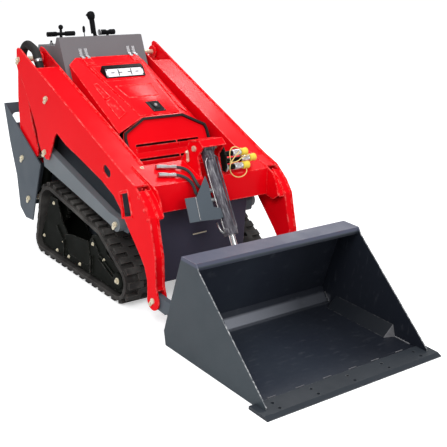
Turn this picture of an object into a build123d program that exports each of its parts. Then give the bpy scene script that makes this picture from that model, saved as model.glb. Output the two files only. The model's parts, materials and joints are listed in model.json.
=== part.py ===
"""Stand-on compact track loader with a vertical-lift loader linkage and a bucket.

Millimetres, +Z up, ground at z = 0, the front (the bucket) towards -Y, +X to the machine's left.
Profiles are drawn in the side view as (y, z) pairs measured from the front of the tracks;
station(x) places such a side view at x and shifts it so that the origin is the middle of the
overall length.  Left and right pieces are made on the +X side and mirrored.
"""
import os
from math import atan2, cos, degrees, hypot, radians, sin

from build123d import *

# ------------------------------------------------------------------ driving dimensions
# overall
LIP_Y = -1275.0                  # front of the cutting edge
REAR_Y = 1446.0                  # back of the rear apron
SHIFT = -(LIP_Y + REAR_Y) / 2    # moves the middle of the length to y = 0
PLATE = 8.0                      # arm and bucket plate
HEAVY = 10.0                     # chassis plate
SHEET = 4.0                      # covers and sheet metal
FIT = 0.3                        # gap between pieces that seat on each other
RUN = 5.0                        # side clearance between pieces that swing past each other

# undercarriage
TRACK_W = 180.0                  # belt width
TRACK_IN = 319.0                 # inner edge of the belt from the centre
BELT_T = 20.0                    # belt without its lugs
LUG_H = 22.0
LUG_PITCH = 68.0
IDLER = (112.0, 125.0, 125.0)    # wheel place y, z and the radius to the lug tips
CARRIER = (320.0, 283.0, 100.0)
SPROCKET = (850.0, 330.0, 142.0)
TAIL = (945.0, 85.0, 85.0)
ROLLER_Y = (250.0, 385.0, 521.0, 649.0, 787.0)
ROLLER_R = 45.0
WHEEL_W = 110.0                  # width over the wheels inside the belt
AXLE_R = 16.0

# chassis
TUB_X = 300.0                    # half width over the tub's side plates
FRONT_Y = 8.0                    # front plate of the tub
BELLY_Z = 150.0

# loader arms and links, pins as (y, z)
ARM_OUT = 490.0                  # outer face of the outer arm plate
GUARD_X = ARM_OUT                # the rear guards are in line with the arms
ARM_IN = 330.0                   # inner face of the inner arm plate
ELBOW_IN = 392.0                 # inner face of the elbow's inner plate
LEG_IN = 432.0                   # inner face of the leg's inner plate
PIN_R = 15.0
PIN_A = (1248.0, 1130.0)         # arm on rear link
PIN_B = (919.0, 645.0)           # arm on control link
PIN_C = (907.0, 966.0)           # lift cylinder on arm
PIN_D = (1117.0, 301.0)          # lift cylinder on chassis
PIN_O2 = (1201.0, 537.0)         # rear link on chassis
PIN_O4 = (160.0, 436.0)          # control link on chassis
PIN_P = (-235.0, 145.0)          # bucket on arms
PIN_T1 = (26.0, 846.0)           # tilt cylinder on arms
PIN_T2 = (-300.0, 335.0)         # tilt cylinder on attach plate
LINK_OUT = ARM_OUT - PLATE - RUN - 1.0          # outer face of the rear link
LINK_IN = ARM_IN + PLATE + RUN + 2.0            # inner face of the rear link
CONTROL_OUT = LINK_OUT - 1.0                    # control link, outer and inner faces
CONTROL_W = 44.0
CONTROL_IN = CONTROL_OUT - CONTROL_W
LIFT_X = 390.0                                  # centre plane of the lift cylinders
LIFT_R = 28.0
LIFT_ROD_R = 16.0
LIFT_BARREL = 560.0              # from the eye to the gland's end
LIFT_ROD_IN = 80.0               # inner end of the rod from the barrel's eye
TILT_R = 36.0
TILT_ROD_R = 19.0
TILT_BARREL = 500.0
TILT_ROD_IN = 124.0
TILT_SPARE = 66.0                # bore left behind the rod, for the curl back from rest
CHEEK_X = 66.0                                  # inner face of the tilt mount's cheeks

# bucket
BUCKET_W = 1100.0
EDGE_OVER = 40.0                 # the cutting edge stands out past each side plate
EDGE_T = 16.0
EDGE_DEPTH = 130.0
FLOOR_T = 8.0

os.makedirs("parts", exist_ok=True)


# ------------------------------------------------------------------ helpers
def station(x):
    """Side-view plane at x: its first axis runs rearwards, its second up, its normal to +X."""
    return Plane(origin=(x, SHIFT, 0), x_dir=(0, 1, 0), z_dir=(1, 0, 0))


def along(start, end):
    """Length and rise angle in degrees from one (y, z) place to another."""
    return hypot(end[0] - start[0], end[1] - start[1]), degrees(
        atan2(end[1] - start[1], end[0] - start[0]))


def axis_plane(x, start, end):
    """Plane at a (y, z) place, its normal along the line to the second place."""
    dy, dz = end[0] - start[0], end[1] - start[1]
    return Plane(origin=(x, start[0] + SHIFT, start[1]), x_dir=(1, 0, 0), z_dir=(0, dy, dz))


def save(builder, name):
    builder.part.label = name
    export_step(builder.part, f"parts/{name}.step")


# ------------------------------------------------------------------ undercarriage
WHEELS = (IDLER, CARRIER, SPROCKET, TAIL)
TRACK_OUT = TRACK_IN + TRACK_W
TRACK_MID = TRACK_IN + TRACK_W / 2
BELT_INNER = LUG_H + BELT_T                     # from the lug tips to the wheels


def loop_face(inset):
    """The loop round the wheels, inset from the lug tips."""
    with BuildSketch() as loop:
        for y, z, r in WHEELS:
            with Locations((y, z)):
                Circle(r - inset)
        make_hull()
    return loop.sketch.faces()[0]


BELT_FACE = loop_face(LUG_H)
HOLLOW_FACE = loop_face(BELT_INNER)
BELT_WIRE = BELT_FACE.outer_wire()
LUG_COUNT = round(BELT_WIRE.length / LUG_PITCH)
LUG_BANDS = (                                   # from, width, lug rows: none, 0, 1 or both
    (0.0, 0.06, ()),
    (0.06, 0.36, (0,)),
    (0.42, 0.16, (0, 1)),
    (0.58, 0.36, (1,)),
    (0.94, 0.06, ()),
)

for side, sign in (("left", 1), ("right", -1)):
    with BuildPart() as track:
        for start, width, rows in LUG_BANDS:
            with BuildSketch(station(TRACK_IN + start * TRACK_W)) as band:
                add(BELT_FACE)
                for row in rows:
                    for i in range(LUG_COUNT):
                        run = (i + 0.5 * row) * BELT_WIRE.length / LUG_COUNT
                        at = BELT_WIRE.position_at(run, position_mode=PositionMode.LENGTH)
                        way = BELT_WIRE.tangent_at(run, position_mode=PositionMode.LENGTH)
                        turn = degrees(atan2(way.Y, way.X))
                        with Locations(Location((at.X, at.Y, 0), (0, 0, turn))):
                            Trapezoid(LUG_PITCH * 0.56, 2 * LUG_H, 78)
                add(HOLLOW_FACE, mode=Mode.SUBTRACT)
            extrude(amount=width * TRACK_W)
    if sign < 0:
        with BuildPart() as flipped:
            add(track.part.mirror(Plane.YZ))
        save(flipped, f"track_{side}")
    else:
        save(track, f"track_{side}")

# wheels inside the loops: (name, list of (y, z, radius to the lug tips or None, own radius))
FLOOR_WHEELS = tuple((y, BELT_INNER + ROLLER_R, ROLLER_R) for y in ROLLER_Y)
RUNNING = tuple((y, z, r - BELT_INNER - FIT) for y, z, r in (IDLER, CARRIER, TAIL))

with BuildPart() as idlers:                     # front idler, carrier and tail wheel
    for y, z, r in RUNNING:
        with BuildSketch(station(TRACK_MID - WHEEL_W / 2)):
            with Locations((y, z)):
                Circle(r)
                Circle(AXLE_R + FIT, mode=Mode.SUBTRACT)
        extrude(amount=WHEEL_W)
        with BuildSketch(station(TRACK_MID - 14)):      # groove for the belt's guide lugs
            with Locations((y, z)):
                Circle(r + 1)
                Circle(r - 14, mode=Mode.SUBTRACT)
        extrude(amount=28, mode=Mode.SUBTRACT)
    mirror(about=Plane.YZ)
save(idlers, "idler_wheels")

with BuildPart() as rollers:
    for y, z, r in FLOOR_WHEELS:
        for place in (TRACK_MID - WHEEL_W / 2, TRACK_MID + 14):
            with BuildSketch(station(place)):
                with Locations((y, z)):
                    Circle(r - FIT)
                    Circle(AXLE_R + FIT, mode=Mode.SUBTRACT)
            extrude(amount=WHEEL_W / 2 - 14)
        with BuildSketch(station(TRACK_MID - 14)):
            with Locations((y, z)):
                Circle(r - 14)
                Circle(AXLE_R + FIT, mode=Mode.SUBTRACT)
        extrude(amount=28)
    mirror(about=Plane.YZ)
save(rollers, "track_rollers")

SPROCKET_R = SPROCKET[2] - BELT_INNER - FIT
SPROCKET_TEETH = 13
MOTOR_R = 62.0
with BuildPart() as sprockets:
    with BuildSketch(station(TRACK_MID - 12)):
        with Locations((SPROCKET[0], SPROCKET[1])):
            Circle(SPROCKET_R - 16)
            with PolarLocations(SPROCKET_R - 16, SPROCKET_TEETH):
                Trapezoid(26, 26, 76, rotation=-90)
            Circle(AXLE_R + FIT, mode=Mode.SUBTRACT)
    extrude(amount=24)
    with BuildSketch(station(TUB_X + FIT)):     # hydraulic wheel motor behind the sprocket
        with Locations((SPROCKET[0], SPROCKET[1])):
            Circle(MOTOR_R)
            Circle(AXLE_R + FIT, mode=Mode.SUBTRACT)
    extrude(amount=TRACK_MID - 12 - TUB_X - FIT)
    mirror(about=Plane.YZ)
save(sprockets, "drive_sprockets")

# track frame: beam plate inside the loop, its brackets and the wheel axles
FRAME_OUT = TRACK_OUT - 24
RIB_Y = (392.0, 690.0)
FRAME_T = 8.0
RIB_PROUD = 14.0
FRAME_OUTLINE = (                               # (y, z) of the outer plate inside the belt
    (60, 150), (75, 70), (140, 58), (960, 58), (985, 96), (960, 160),
    (905, 300), (870, 385), (800, 385), (735, 262), (700, 240), (640, 170),
    (470, 178), (390, 300), (300, 322), (262, 292), (240, 235), (110, 190),
)
with BuildPart() as track_frames:
    for place in (FRAME_OUT - FRAME_T, TRACK_IN + 10):
        with BuildSketch(station(place)):
            with BuildLine():
                Polyline(*FRAME_OUTLINE, close=True)
            make_face()
            if place < TRACK_MID:               # the wheel motor passes the inner plate
                with Locations(SPROCKET[:2]):
                    Circle(MOTOR_R + 2, mode=Mode.SUBTRACT)
        extrude(amount=FRAME_T)
    for y in RIB_Y:                             # upright ribs on the outer plate
        with BuildSketch(station(FRAME_OUT)):
            with Locations((y, 120)):
                Rectangle(FRAME_T, 110)
        extrude(amount=RIB_PROUD)
    for y, z, r in (IDLER, CARRIER, SPROCKET, TAIL, *FLOOR_WHEELS):
        with BuildSketch(station(TUB_X + FIT if r == SPROCKET[2] else TRACK_IN + 10)):
            with Locations((y, z)):
                Circle(AXLE_R)
        extrude(until=Until.LAST)
    mirror(about=Plane.YZ)
save(track_frames, "track_frames")

# ------------------------------------------------------------------ chassis
TUB_SIDE = (                                    # (y, z) outline of a tub side plate
    (FRONT_Y, BELLY_Z), (1180, BELLY_Z), (1224, 240), (1266, 404), (1358, 606), (1426, 798),
    (1330, 828), (1000, 1022), (912, 964), (772, 899), (462, 828), (352, 735), (298, 660),
    (FRONT_Y, 532),
)
with BuildPart() as main_frame:
    with BuildSketch(station(TUB_X - HEAVY)):
        with BuildLine():
            Polyline(*TUB_SIDE, close=True)
        make_face()
    extrude(amount=HEAVY)
    with BuildSketch(station(TUB_X - FIT)):     # control link bracket above the track
        with Locations((PIN_O4[0] - 10, PIN_O4[1])):
            RectangleRounded(110, 86, 20)
    extrude(amount=CONTROL_IN - TUB_X)
    mirror(about=Plane.YZ)
    with BuildSketch(station(-TUB_X + HEAVY)):  # belly plate and cross tubes
        with BuildLine():
            Polyline((FRONT_Y, BELLY_Z), (1180, BELLY_Z), (1180, BELLY_Z + HEAVY),
                     (FRONT_Y, BELLY_Z + HEAVY), close=True)
        make_face()
        for place in ((1120, 470), (420, 420)):
            with Locations(place):
                Rectangle(60, 60)
    extrude(amount=2 * (TUB_X - HEAVY))
save(main_frame, "main_frame")

with BuildPart() as front_guard:                # front plate with its sloped top apron
    with BuildSketch(station(-TUB_X)):
        with BuildLine():
            Polyline((FRONT_Y - HEAVY - FIT, 112), (FRONT_Y - FIT, 112), (FRONT_Y - FIT, 533),
                     (292, 658), (287, 667), (FRONT_Y - HEAVY - FIT, 540), close=True)
        make_face()
    extrude(amount=2 * TUB_X)
save(front_guard, "front_guard")

APRON_LINE = ((1231, 214), (1277, 404), (1369, 606), (1446, 824))     # (y, z) of its back
with BuildPart() as rear_guards:
    with BuildSketch(station(GUARD_X - PLATE)):
        with BuildLine():
            Polyline((979, 549), (1015, 407), (1071, 172), (1156, 164), *APRON_LINE, close=True)
        make_face()
        with Locations(PIN_O2, PIN_D):
            Circle(PIN_R + FIT, mode=Mode.SUBTRACT)
    extrude(amount=PLATE)
    mirror(about=Plane.YZ)
save(rear_guards, "rear_guards")

with BuildPart() as rear_apron:
    with BuildSketch(station(-(GUARD_X - PLATE - FIT))):
        with BuildLine():
            Polyline(*APRON_LINE, *((y - 9, z + 2) for y, z in reversed(APRON_LINE)), close=True)
        make_face()
    extrude(amount=2 * (GUARD_X - PLATE - FIT))
    with BuildSketch(Plane(origin=(0, SHIFT + 1446, 0), x_dir=(-1, 0, 0), z_dir=(0, 1, 0))):
        with Locations((395, 735), (-395, 735)):        # hand holes
            SlotOverall(120, 62)
    extrude(amount=-140, mode=Mode.SUBTRACT)
save(rear_apron, "rear_apron")

CONSOLE_X = 294.0
CONSOLE = (                                     # (y, z) side outline of the control console
    (999.4, 1022.7), (1124, 1270), (1150, 1268), (1166, 1214), (1372, 1190), (1420, 838),
    (1420, 800.5), (1330.1, 828.3),
)
with BuildPart() as console:
    with BuildSketch(station(-CONSOLE_X)):
        with BuildLine():
            Polyline(*CONSOLE, close=True)
        make_face()
    extrude(amount=2 * CONSOLE_X)
save(console, "console")

with BuildPart() as engine:
    with BuildSketch(Plane.XY.offset(BELLY_Z + HEAVY + FIT)):
        with Locations((0, SHIFT + 760)):
            Rectangle(420, 460)
    extrude(amount=600)
save(engine, "engine")

# sloped louvered panel under the hood's front edge, drawn on its own plane (x, distance up it)
GRILLE_AT = (345.0, 745.0)
GRILLE_RISE = 60.5
slope = radians(GRILLE_RISE)
GRILLE_PLANE = Plane(origin=(0, SHIFT + GRILLE_AT[0], GRILLE_AT[1]), x_dir=(1, 0, 0),
                     z_dir=(0, -sin(slope), cos(slope)))
ARCH = (                                        # (x, up the panel) of the arched outline
    (-289.7, -78), (289.7, -78), (289.7, 100), (281, 132), (137, 206), (-137, 206), (-281, 132),
    (-289.7, 100),
)
LOUVERS = ((-84, 50, 278), (138, 50, 154), (-84, -33, 278), (138, -33, 154))    # x, up, width
with BuildPart() as grille:
    with BuildSketch(GRILLE_PLANE):
        Polygon(*ARCH, align=None)
        for x, up, width in LOUVERS:
            with Locations((x, up)):
                SlotOverall(width, 16, mode=Mode.SUBTRACT)
    extrude(amount=-SHEET)
    for x, up, width in LOUVERS:                # lip below each slot, leaning outwards
        with BuildSketch(Plane(origin=GRILLE_PLANE.from_local_coords((x - width / 2, up, 0)),
                               x_dir=GRILLE_PLANE.y_dir, z_dir=(1, 0, 0))):
            Polygon((-8, -1), (-8, 12), (-11, 12), (-40, 0), (-40, -1), align=None)
        extrude(amount=width)
save(grille, "grille_panel")

with BuildPart() as seal:
    with BuildSketch(GRILLE_PLANE.offset(FIT)):
        Polygon((-288, 0), (-288, 100), (-280, 131), (-136, 205), (136, 205), (280, 131),
                (288, 100), (288, 0), (276, 0), (276, 98), (269, 121), (133, 192),
                (-133, 192), (-269, 121), (-276, 98), (-276, 0), align=None)
    extrude(amount=14)
save(seal, "hood_seal")

# control levers, drawn on the console's sloping deck as (x, distance back from its front)
DECK_FALL = atan2(1214 - 1190, 1372 - 1166)
DECK_PLANE = Plane(origin=(0, SHIFT + 1166, 1214), x_dir=(1, 0, 0),
                   z_dir=(0, sin(DECK_FALL), cos(DECK_FALL)))
POSTS = (                                       # x, back, height, radius
    (-212, 74, 96, 9), (15, 74, 110, 12), (-60, 34, 60, 5), (110, 69, 62, 9),
)
BARS = ((-212, 74, 62, 92, 13), (95, 69, 62, 56, 12))       # x, back, height, half length, radius
with BuildPart() as levers:
    for x, back, height, r in POSTS:
        with BuildSketch(DECK_PLANE.offset(FIT)):
            with Locations((x, back)):
                Circle(r)
        extrude(amount=height)
    for x, back, height, half, r in BARS:       # T-bar and hand bar
        end = DECK_PLANE.from_local_coords((x - half, back, height))
        with BuildSketch(Plane(origin=end, x_dir=(0, 1, 0), z_dir=(1, 0, 0))):
            Circle(r)
        extrude(amount=2 * half)
    with Locations(DECK_PLANE.from_local_coords((-212, 74, 102))):
        Sphere(15)
    with BuildSketch(DECK_PLANE.offset(100)):
        with Locations((15, 74)):
            Circle(17)
    extrude(amount=95, taper=-4)
save(levers, "control_levers")

# ------------------------------------------------------------------ rear and control links
LINK_OUTLINE = (                                # (y, z), round the pins O2 and A
    (1190, 1096), (1186, 995), (1117, 791), (1034, 632), (1036, 588), (1182, 492),
    (1249, 537), (1258, 704), (1284, 900), (1286, 1100),
)
with BuildPart() as rear_links:
    for place in (LINK_OUT - PLATE, LINK_IN):
        with BuildSketch(station(place)):
            with BuildLine():
                Polyline(*LINK_OUTLINE, close=True)
            make_face()
            with Locations(PIN_A):
                Circle(40)
            with Locations(PIN_O2):
                Circle(48)
            with Locations(PIN_A, PIN_O2):
                Circle(PIN_R + FIT, mode=Mode.SUBTRACT)
        extrude(amount=PLATE)
    with BuildSketch(station(LINK_IN + PLATE - FIT)):           # web along the rear edge
        Polygon((1249, 600), (1258, 704), (1282, 880), (1274, 882), (1250, 706), (1241, 600),
                align=None)
    extrude(amount=LINK_OUT - LINK_IN - 2 * PLATE + 2 * FIT)
    mirror(about=Plane.YZ)
save(rear_links, "rear_links")

with BuildPart() as control_links:
    with BuildSketch(station(CONTROL_IN)):
        with BuildLine():
            Polyline((205, 414), (955, 548), (966, 600), (930, 668), (866, 652), (225, 482),
                     close=True)
        make_face()
        with Locations(PIN_O4):
            Circle(40)
        with BuildLine():
            Polyline((152, 397), (210, 412), (228, 482), (158, 476), close=True)
        make_face()
        with Locations(PIN_O4, PIN_B):
            Circle(PIN_R + FIT, mode=Mode.SUBTRACT)
    extrude(amount=CONTROL_W)
    mirror(about=Plane.YZ)
save(control_links, "control_links")

# ------------------------------------------------------------------ loader arms
ARM_OUTLINE = (                                 # (y, z): top edge forwards, leg, lower edge back
    (1230, 1194), (1157, 1164), (213, 793), (84, 742), (-26, 708), (-118, 640), (-171, 578),
    (-207, 464), (-236, 380), (-256, 228), (-288, 150), (-186, 140), (-176, 238), (-146, 303),
    (-104, 349), (-42, 408), (30, 475), (103, 549), (166, 599), (292, 648), (555, 718),
    (675, 746), (787, 792), (818, 753), (844, 683), (876, 608), (908, 604), (968, 640),
    (1002, 690), (1019, 745), (1066, 820), (1130, 912), (1186, 990), (1258, 1060), (1275, 1092),
    (1276, 1186), (1262, 1198),
)
STEP_IN_Y = 134.0                               # here the box narrows from ARM_IN to ELBOW_IN
INNER_OUTLINE = (                               # inner plate, ending behind the cross member
    (1230, 1194), (1157, 1164), (213, 793), (STEP_IN_Y, 762), (STEP_IN_Y, 590), (166, 599),
    (292, 648), (555, 718), (675, 746), (787, 792), (1021, 806), (1186, 990), (1258, 1060),
    (1275, 1092), (1276, 1186), (1262, 1198),
)
ELBOW_OUTLINE = (                               # elbow's inner plate, beside the cross member
    (STEP_IN_Y + 8, 764), (84, 744), (-20, 714), (-95, 686), (-124, 648), (-163, 566),
    (-124, 533), (-62, 541), (40, 552), (103, 562), (STEP_IN_Y + 8, 590),
)
WEB = (                                         # joins the two inner plates
    (STEP_IN_Y, 590), (STEP_IN_Y + 8, 592), (STEP_IN_Y + 8, 756), (STEP_IN_Y, 753),
)
OPEN_BELOW = (                                  # region under the cover plate, left open
    (1053, 1400), (1053, 1090), (213, 758), (96, 712), (-2, 682), (-90, 614), (-140, 560),
    (-176, 460), (-196, 392), (-214, 300), (-226, 205), (-400, 205), (-400, 0), (1400, 0),
    (1400, 1400),
)
PROUD = 8.0                                     # the side plates stand out over the cover
COVER_T = 9.0
LEG_WINDOW = ((32, 655), (98, 627), (62, 512), (-12, 540))      # (y, z) of the leg's opening
WINDOW_RIM = ((36, 670), (115, 636), (73, 498), (-24, 530))     # and of its raised rim
RIM_PROUD = 5.0


def arm_face(points, lobes):
    """Outline of an arm plate with its round pin lobes (y, z, r)."""
    with BuildSketch() as face:
        Polygon(*points, align=None)
        for y, z, r in lobes:
            with Locations((y, z)):
                Circle(r)
    return face.sketch


ARM_FACE = arm_face(ARM_OUTLINE, ((*PIN_A, 27), (*PIN_P, 52)))
INNER_FACE = arm_face(INNER_OUTLINE, ((*PIN_A, 27),))
COVERS = (                                      # inner face, (y, z) of what is left of the cover
    (ARM_IN + PLATE, ((STEP_IN_Y, 0), (1400, 0), (1400, 1400), (STEP_IN_Y, 1400))),
    (ELBOW_IN + PLATE, ((-400, 560), (STEP_IN_Y + 8, 560), (STEP_IN_Y + 8, 1400), (-400, 1400))),
    (LEG_IN + PLATE, ((-400, 0), (-110, 0), (-110, 600), (-400, 600))),
)

with BuildPart() as arm:
    with BuildSketch(station(ARM_OUT - PLATE)):             # outer plate
        add(ARM_FACE)
        with Locations(PIN_A, PIN_C, PIN_B, PIN_P):
            Circle(PIN_R + FIT, mode=Mode.SUBTRACT)
        with Locations(Location((243, 713, 0), (0, 0, 25))):
            SlotOverall(80, 50, mode=Mode.SUBTRACT)
    extrude(amount=PLATE)
    with BuildSketch(station(ARM_OUT)):                     # raised rim of the leg's opening
        Polygon(*WINDOW_RIM, align=None)
    extrude(amount=RIM_PROUD)
    with BuildSketch(station(ARM_OUT - PLATE)):
        Polygon(*LEG_WINDOW, align=None)
    extrude(amount=PLATE + RIM_PROUD, mode=Mode.SUBTRACT)
    with BuildSketch(station(ARM_IN)):                      # inner plate
        add(INNER_FACE)
        with Locations(PIN_A, PIN_C):
            Circle(PIN_R + FIT, mode=Mode.SUBTRACT)
    extrude(amount=PLATE)
    with BuildSketch(station(ELBOW_IN)):                    # elbow's inner plate
        Polygon(*ELBOW_OUTLINE, align=None)
    extrude(amount=PLATE)
    with BuildSketch(station(ARM_IN)):                      # web between the inner plates
        Polygon(*WEB, align=None)
    extrude(amount=ELBOW_IN + PLATE - ARM_IN)
    with BuildSketch(station(LEG_IN)):                      # leg's inner plate
        add(ARM_FACE)
        Polygon((64, 0), (1400, 0), (1400, 1300), (-400, 1300), (-400, 700), (-20, 690),
                (64, 560), align=None, mode=Mode.SUBTRACT)
        with Locations(PIN_P):
            Circle(PIN_R + FIT, mode=Mode.SUBTRACT)
    extrude(amount=PLATE)
    for inner, limits in COVERS:                            # top cover and the leg's front
        with BuildSketch(station(inner)):
            add(ARM_FACE)
            offset(amount=-PROUD)
            offset(ARM_FACE, amount=-PROUD - COVER_T, mode=Mode.SUBTRACT)
            Polygon(*OPEN_BELOW, align=None, mode=Mode.SUBTRACT)
            Polygon(*limits, align=None, mode=Mode.INTERSECT)
        extrude(amount=ARM_OUT - PLATE - inner)
    with BuildSketch(Plane.XY.offset(760)):                 # opening in the top cover
        with Locations((441, SHIFT - 33)):
            Rectangle(76, 30)
    extrude(amount=-120, mode=Mode.SUBTRACT)
save(arm, "arm_left")
with BuildPart() as arm_right:
    add(arm.part.mirror(Plane.YZ))
save(arm_right, "arm_right")

BEAM = (                                        # (y, z) of the cross member's box
    (-68, 550), (-55, 699), (124, 757), (132, 700), (104, 637), (20, 552),
)
CHEEK = (                                       # (y, z) of a cheek of the tilt cylinder mount
    (132, 690), (154, 725), (73, 875), (-6, 894), (-44, 868), (-4, 806), (-38, 712),
    (-57, 697), (-72, 551), (20, 551), (104, 637),
)
CHEEK_OUT = CHEEK_X + HEAVY
with BuildPart() as cross_member:               # a box on each side of the cylinder
    with BuildSketch(station(CHEEK_OUT + FIT)):
        Polygon(*BEAM, align=None)
        offset(amount=-PLATE, mode=Mode.SUBTRACT)
    extrude(amount=ELBOW_IN - CHEEK_OUT - 2 * FIT)
    mirror(about=Plane.YZ)
save(cross_member, "cross_member")

BRIDGE = ((84, 872.7), (-8, 894.8), (-46, 868.8), (-49, 873), (-10, 901.5), (86, 879))
BACK_BAR = ((78, 640), (106, 640), (138, 720), (112, 730))
with BuildPart() as tilt_mount:                 # cheeks, bar behind the cylinder, bridge on top
    with BuildSketch(station(CHEEK_X)):
        Polygon(*CHEEK, align=None)
        with Locations(PIN_T1):
            Circle(PIN_R + FIT, mode=Mode.SUBTRACT)
    extrude(amount=HEAVY)
    mirror(about=Plane.YZ)
    for outline, half in ((BACK_BAR, CHEEK_X - FIT), (BRIDGE, CHEEK_OUT + 4)):
        with BuildSketch(station(-half)):
            Polygon(*outline, align=None)
        extrude(amount=2 * half)
save(tilt_mount, "tilt_mount")

# zinc pins: (pin, inner end, outer end) on the left side
ARM_PINS = (
    (PIN_A, ARM_IN - 6, ARM_OUT + 6), (PIN_C, ARM_OUT - PLATE, ARM_OUT + 6),
    (PIN_B, ARM_OUT - PLATE, ARM_OUT + 6), (PIN_P, LEG_IN - 6, ARM_OUT + 6),
)
KEEPER_LEN, KEEPER_T, KEEPER_TURN = 54.0, 5.0, -54.0       # plate that keeps a pin from turning
with BuildPart() as pins:
    for place, inner, outer in ARM_PINS:
        with BuildSketch(station(inner)):
            with Locations(place):
                Circle(PIN_R)
        extrude(amount=outer - inner)
        with BuildSketch(station(ARM_OUT + FIT)):           # keeper plate with its bolt
            with Locations(Location((place[0] + 9, place[1] - 12, 0), (0, 0, KEEPER_TURN))):
                SlotOverall(KEEPER_LEN, 2 * PIN_R - 8)
        extrude(amount=KEEPER_T)
        with BuildSketch(station(ARM_OUT + FIT + KEEPER_T)):
            with Locations((place[0] + 18, place[1] - 24)):
                RegularPolygon(8, 6)
        extrude(amount=KEEPER_T)
    mirror(about=Plane.YZ)
save(pins, "arm_pins")

TILT_PIN_OVER = 10.0
with BuildPart() as tilt_pin:
    with BuildSketch(station(-CHEEK_OUT - TILT_PIN_OVER)):
        with Locations(PIN_T1):
            Circle(PIN_R)
    extrude(amount=2 * (CHEEK_OUT + TILT_PIN_OVER))
save(tilt_pin, "tilt_pin")

# ------------------------------------------------------------------ lift cylinders
LIFT_LEN, LIFT_RISE = along(PIN_D, PIN_C)
with BuildPart() as lift_barrels:
    plane = axis_plane(LIFT_X, PIN_D, PIN_C)
    with BuildSketch(plane.offset(26)):
        Circle(LIFT_R)
    extrude(amount=LIFT_BARREL - 26)
    with BuildSketch(station(LIFT_X - LIFT_R - 1)):
        with Locations(PIN_D):
            Circle(32)
    extrude(amount=2 * LIFT_R + 2)
    with BuildSketch(plane.offset(LIFT_BARREL - 34)):       # gland
        Circle(LIFT_R + 3)
    extrude(amount=34)
    with BuildSketch(plane.offset(LIFT_ROD_IN - 6)):        # bore for the rod
        Circle(LIFT_ROD_R + FIT)
    extrude(amount=LIFT_BARREL - LIFT_ROD_IN + 10, mode=Mode.SUBTRACT)
    with BuildSketch(station(LIFT_X - LIFT_R - 2)):
        with Locations(PIN_D):
            Circle(PIN_R + FIT)
    extrude(amount=2 * LIFT_R + 4, mode=Mode.SUBTRACT)
    mirror(about=Plane.YZ)
save(lift_barrels, "lift_barrels")

with BuildPart() as lift_rods:
    with BuildSketch(axis_plane(LIFT_X, PIN_D, PIN_C).offset(LIFT_ROD_IN)):
        Circle(LIFT_ROD_R)
    extrude(amount=LIFT_LEN - LIFT_ROD_IN)
    with BuildSketch(station(ARM_IN + PLATE + RUN)):
        with Locations(PIN_C):
            Circle(26)
    extrude(amount=LIFT_X + LIFT_R - ARM_IN - PLATE - RUN)
    mirror(about=Plane.YZ)
save(lift_rods, "lift_rods")

# pins that carry the links and cylinders on the chassis: (place, inner end, head's seat)
CHASSIS_PINS = (
    (PIN_O2, TUB_X + FIT, GUARD_X + FIT), (PIN_D, TUB_X + FIT, GUARD_X + FIT),
    (PIN_O4, CONTROL_IN + FIT, CONTROL_OUT + 2),
)
with BuildPart() as chassis_pins:
    for place, inner, seat in CHASSIS_PINS:
        with BuildSketch(station(inner)):
            with Locations(place):
                Circle(PIN_R)
        extrude(amount=seat + 6 - inner)
        with BuildSketch(station(seat)):
            with Locations(Location((place[0] + 9, place[1] - 12, 0), (0, 0, KEEPER_TURN))):
                SlotOverall(KEEPER_LEN, 2 * PIN_R - 8)
        extrude(amount=KEEPER_T)
    mirror(about=Plane.YZ)
save(chassis_pins, "chassis_pins")

# ------------------------------------------------------------------ tilt cylinder
TILT_LEN, TILT_RISE = along(PIN_T1, PIN_T2)
TILT_PLANE = axis_plane(0, PIN_T1, PIN_T2)
with BuildPart() as tilt_barrel:
    with BuildSketch(TILT_PLANE.offset(24)):
        Circle(TILT_R)
    extrude(amount=TILT_BARREL - 24)
    with BuildSketch(station(-TILT_R - 1)):
        with Locations(PIN_T1):
            Circle(34)
    extrude(amount=2 * TILT_R + 2)
    with BuildSketch(TILT_PLANE.offset(TILT_BARREL - 40)):
        Circle(TILT_R + 4)
    extrude(amount=40)
    with BuildSketch(TILT_PLANE.offset(TILT_ROD_IN - TILT_SPARE)):
        Circle(TILT_ROD_R + FIT)
    extrude(amount=TILT_BARREL - TILT_ROD_IN + 2 * TILT_SPARE, mode=Mode.SUBTRACT)
    with BuildSketch(station(-TILT_R - 2)):
        with Locations(PIN_T1):
            Circle(PIN_R + FIT)
    extrude(amount=2 * TILT_R + 4, mode=Mode.SUBTRACT)
save(tilt_barrel, "tilt_barrel")

EAR_X = 30.0                                    # inner face of the attach plate's ears
with BuildPart() as tilt_rod:
    with BuildSketch(TILT_PLANE.offset(TILT_ROD_IN)):
        Circle(TILT_ROD_R)
    extrude(amount=TILT_LEN - TILT_ROD_IN)
    with BuildSketch(station(-EAR_X + FIT * 2)):
        with Locations(PIN_T2):
            Circle(28)
    extrude(amount=2 * (EAR_X - FIT * 2))
save(tilt_rod, "tilt_rod")

# sheet that guards the hoses beside the barrel, drawn as (x, distance down the cylinder)
GUARD_RISE = 24.0                               # its plane in front of the cylinder's axis
GUARD_PLANE = Plane(origin=TILT_PLANE.origin, x_dir=(1, 0, 0), z_dir=TILT_PLANE.y_dir)
GUARD = (
    (-80, 163), (-72, 219), (-82, 282), (-82, 336), (-38, 348), (-54, 407), (-181, 398),
    (-170, 266),
)
GUARD_FOLD = ((-170, 266), (-181, 398))         # the side flange leans back from this line
GUARD_FOOT = ((-80, 352), (-34, 352), (-34, 400), (-80, 400))


def on_guard(points):
    """Places on the guard's plane from (x, distance down the cylinder)."""
    return [(x, -run) for x, run in points]


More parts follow.
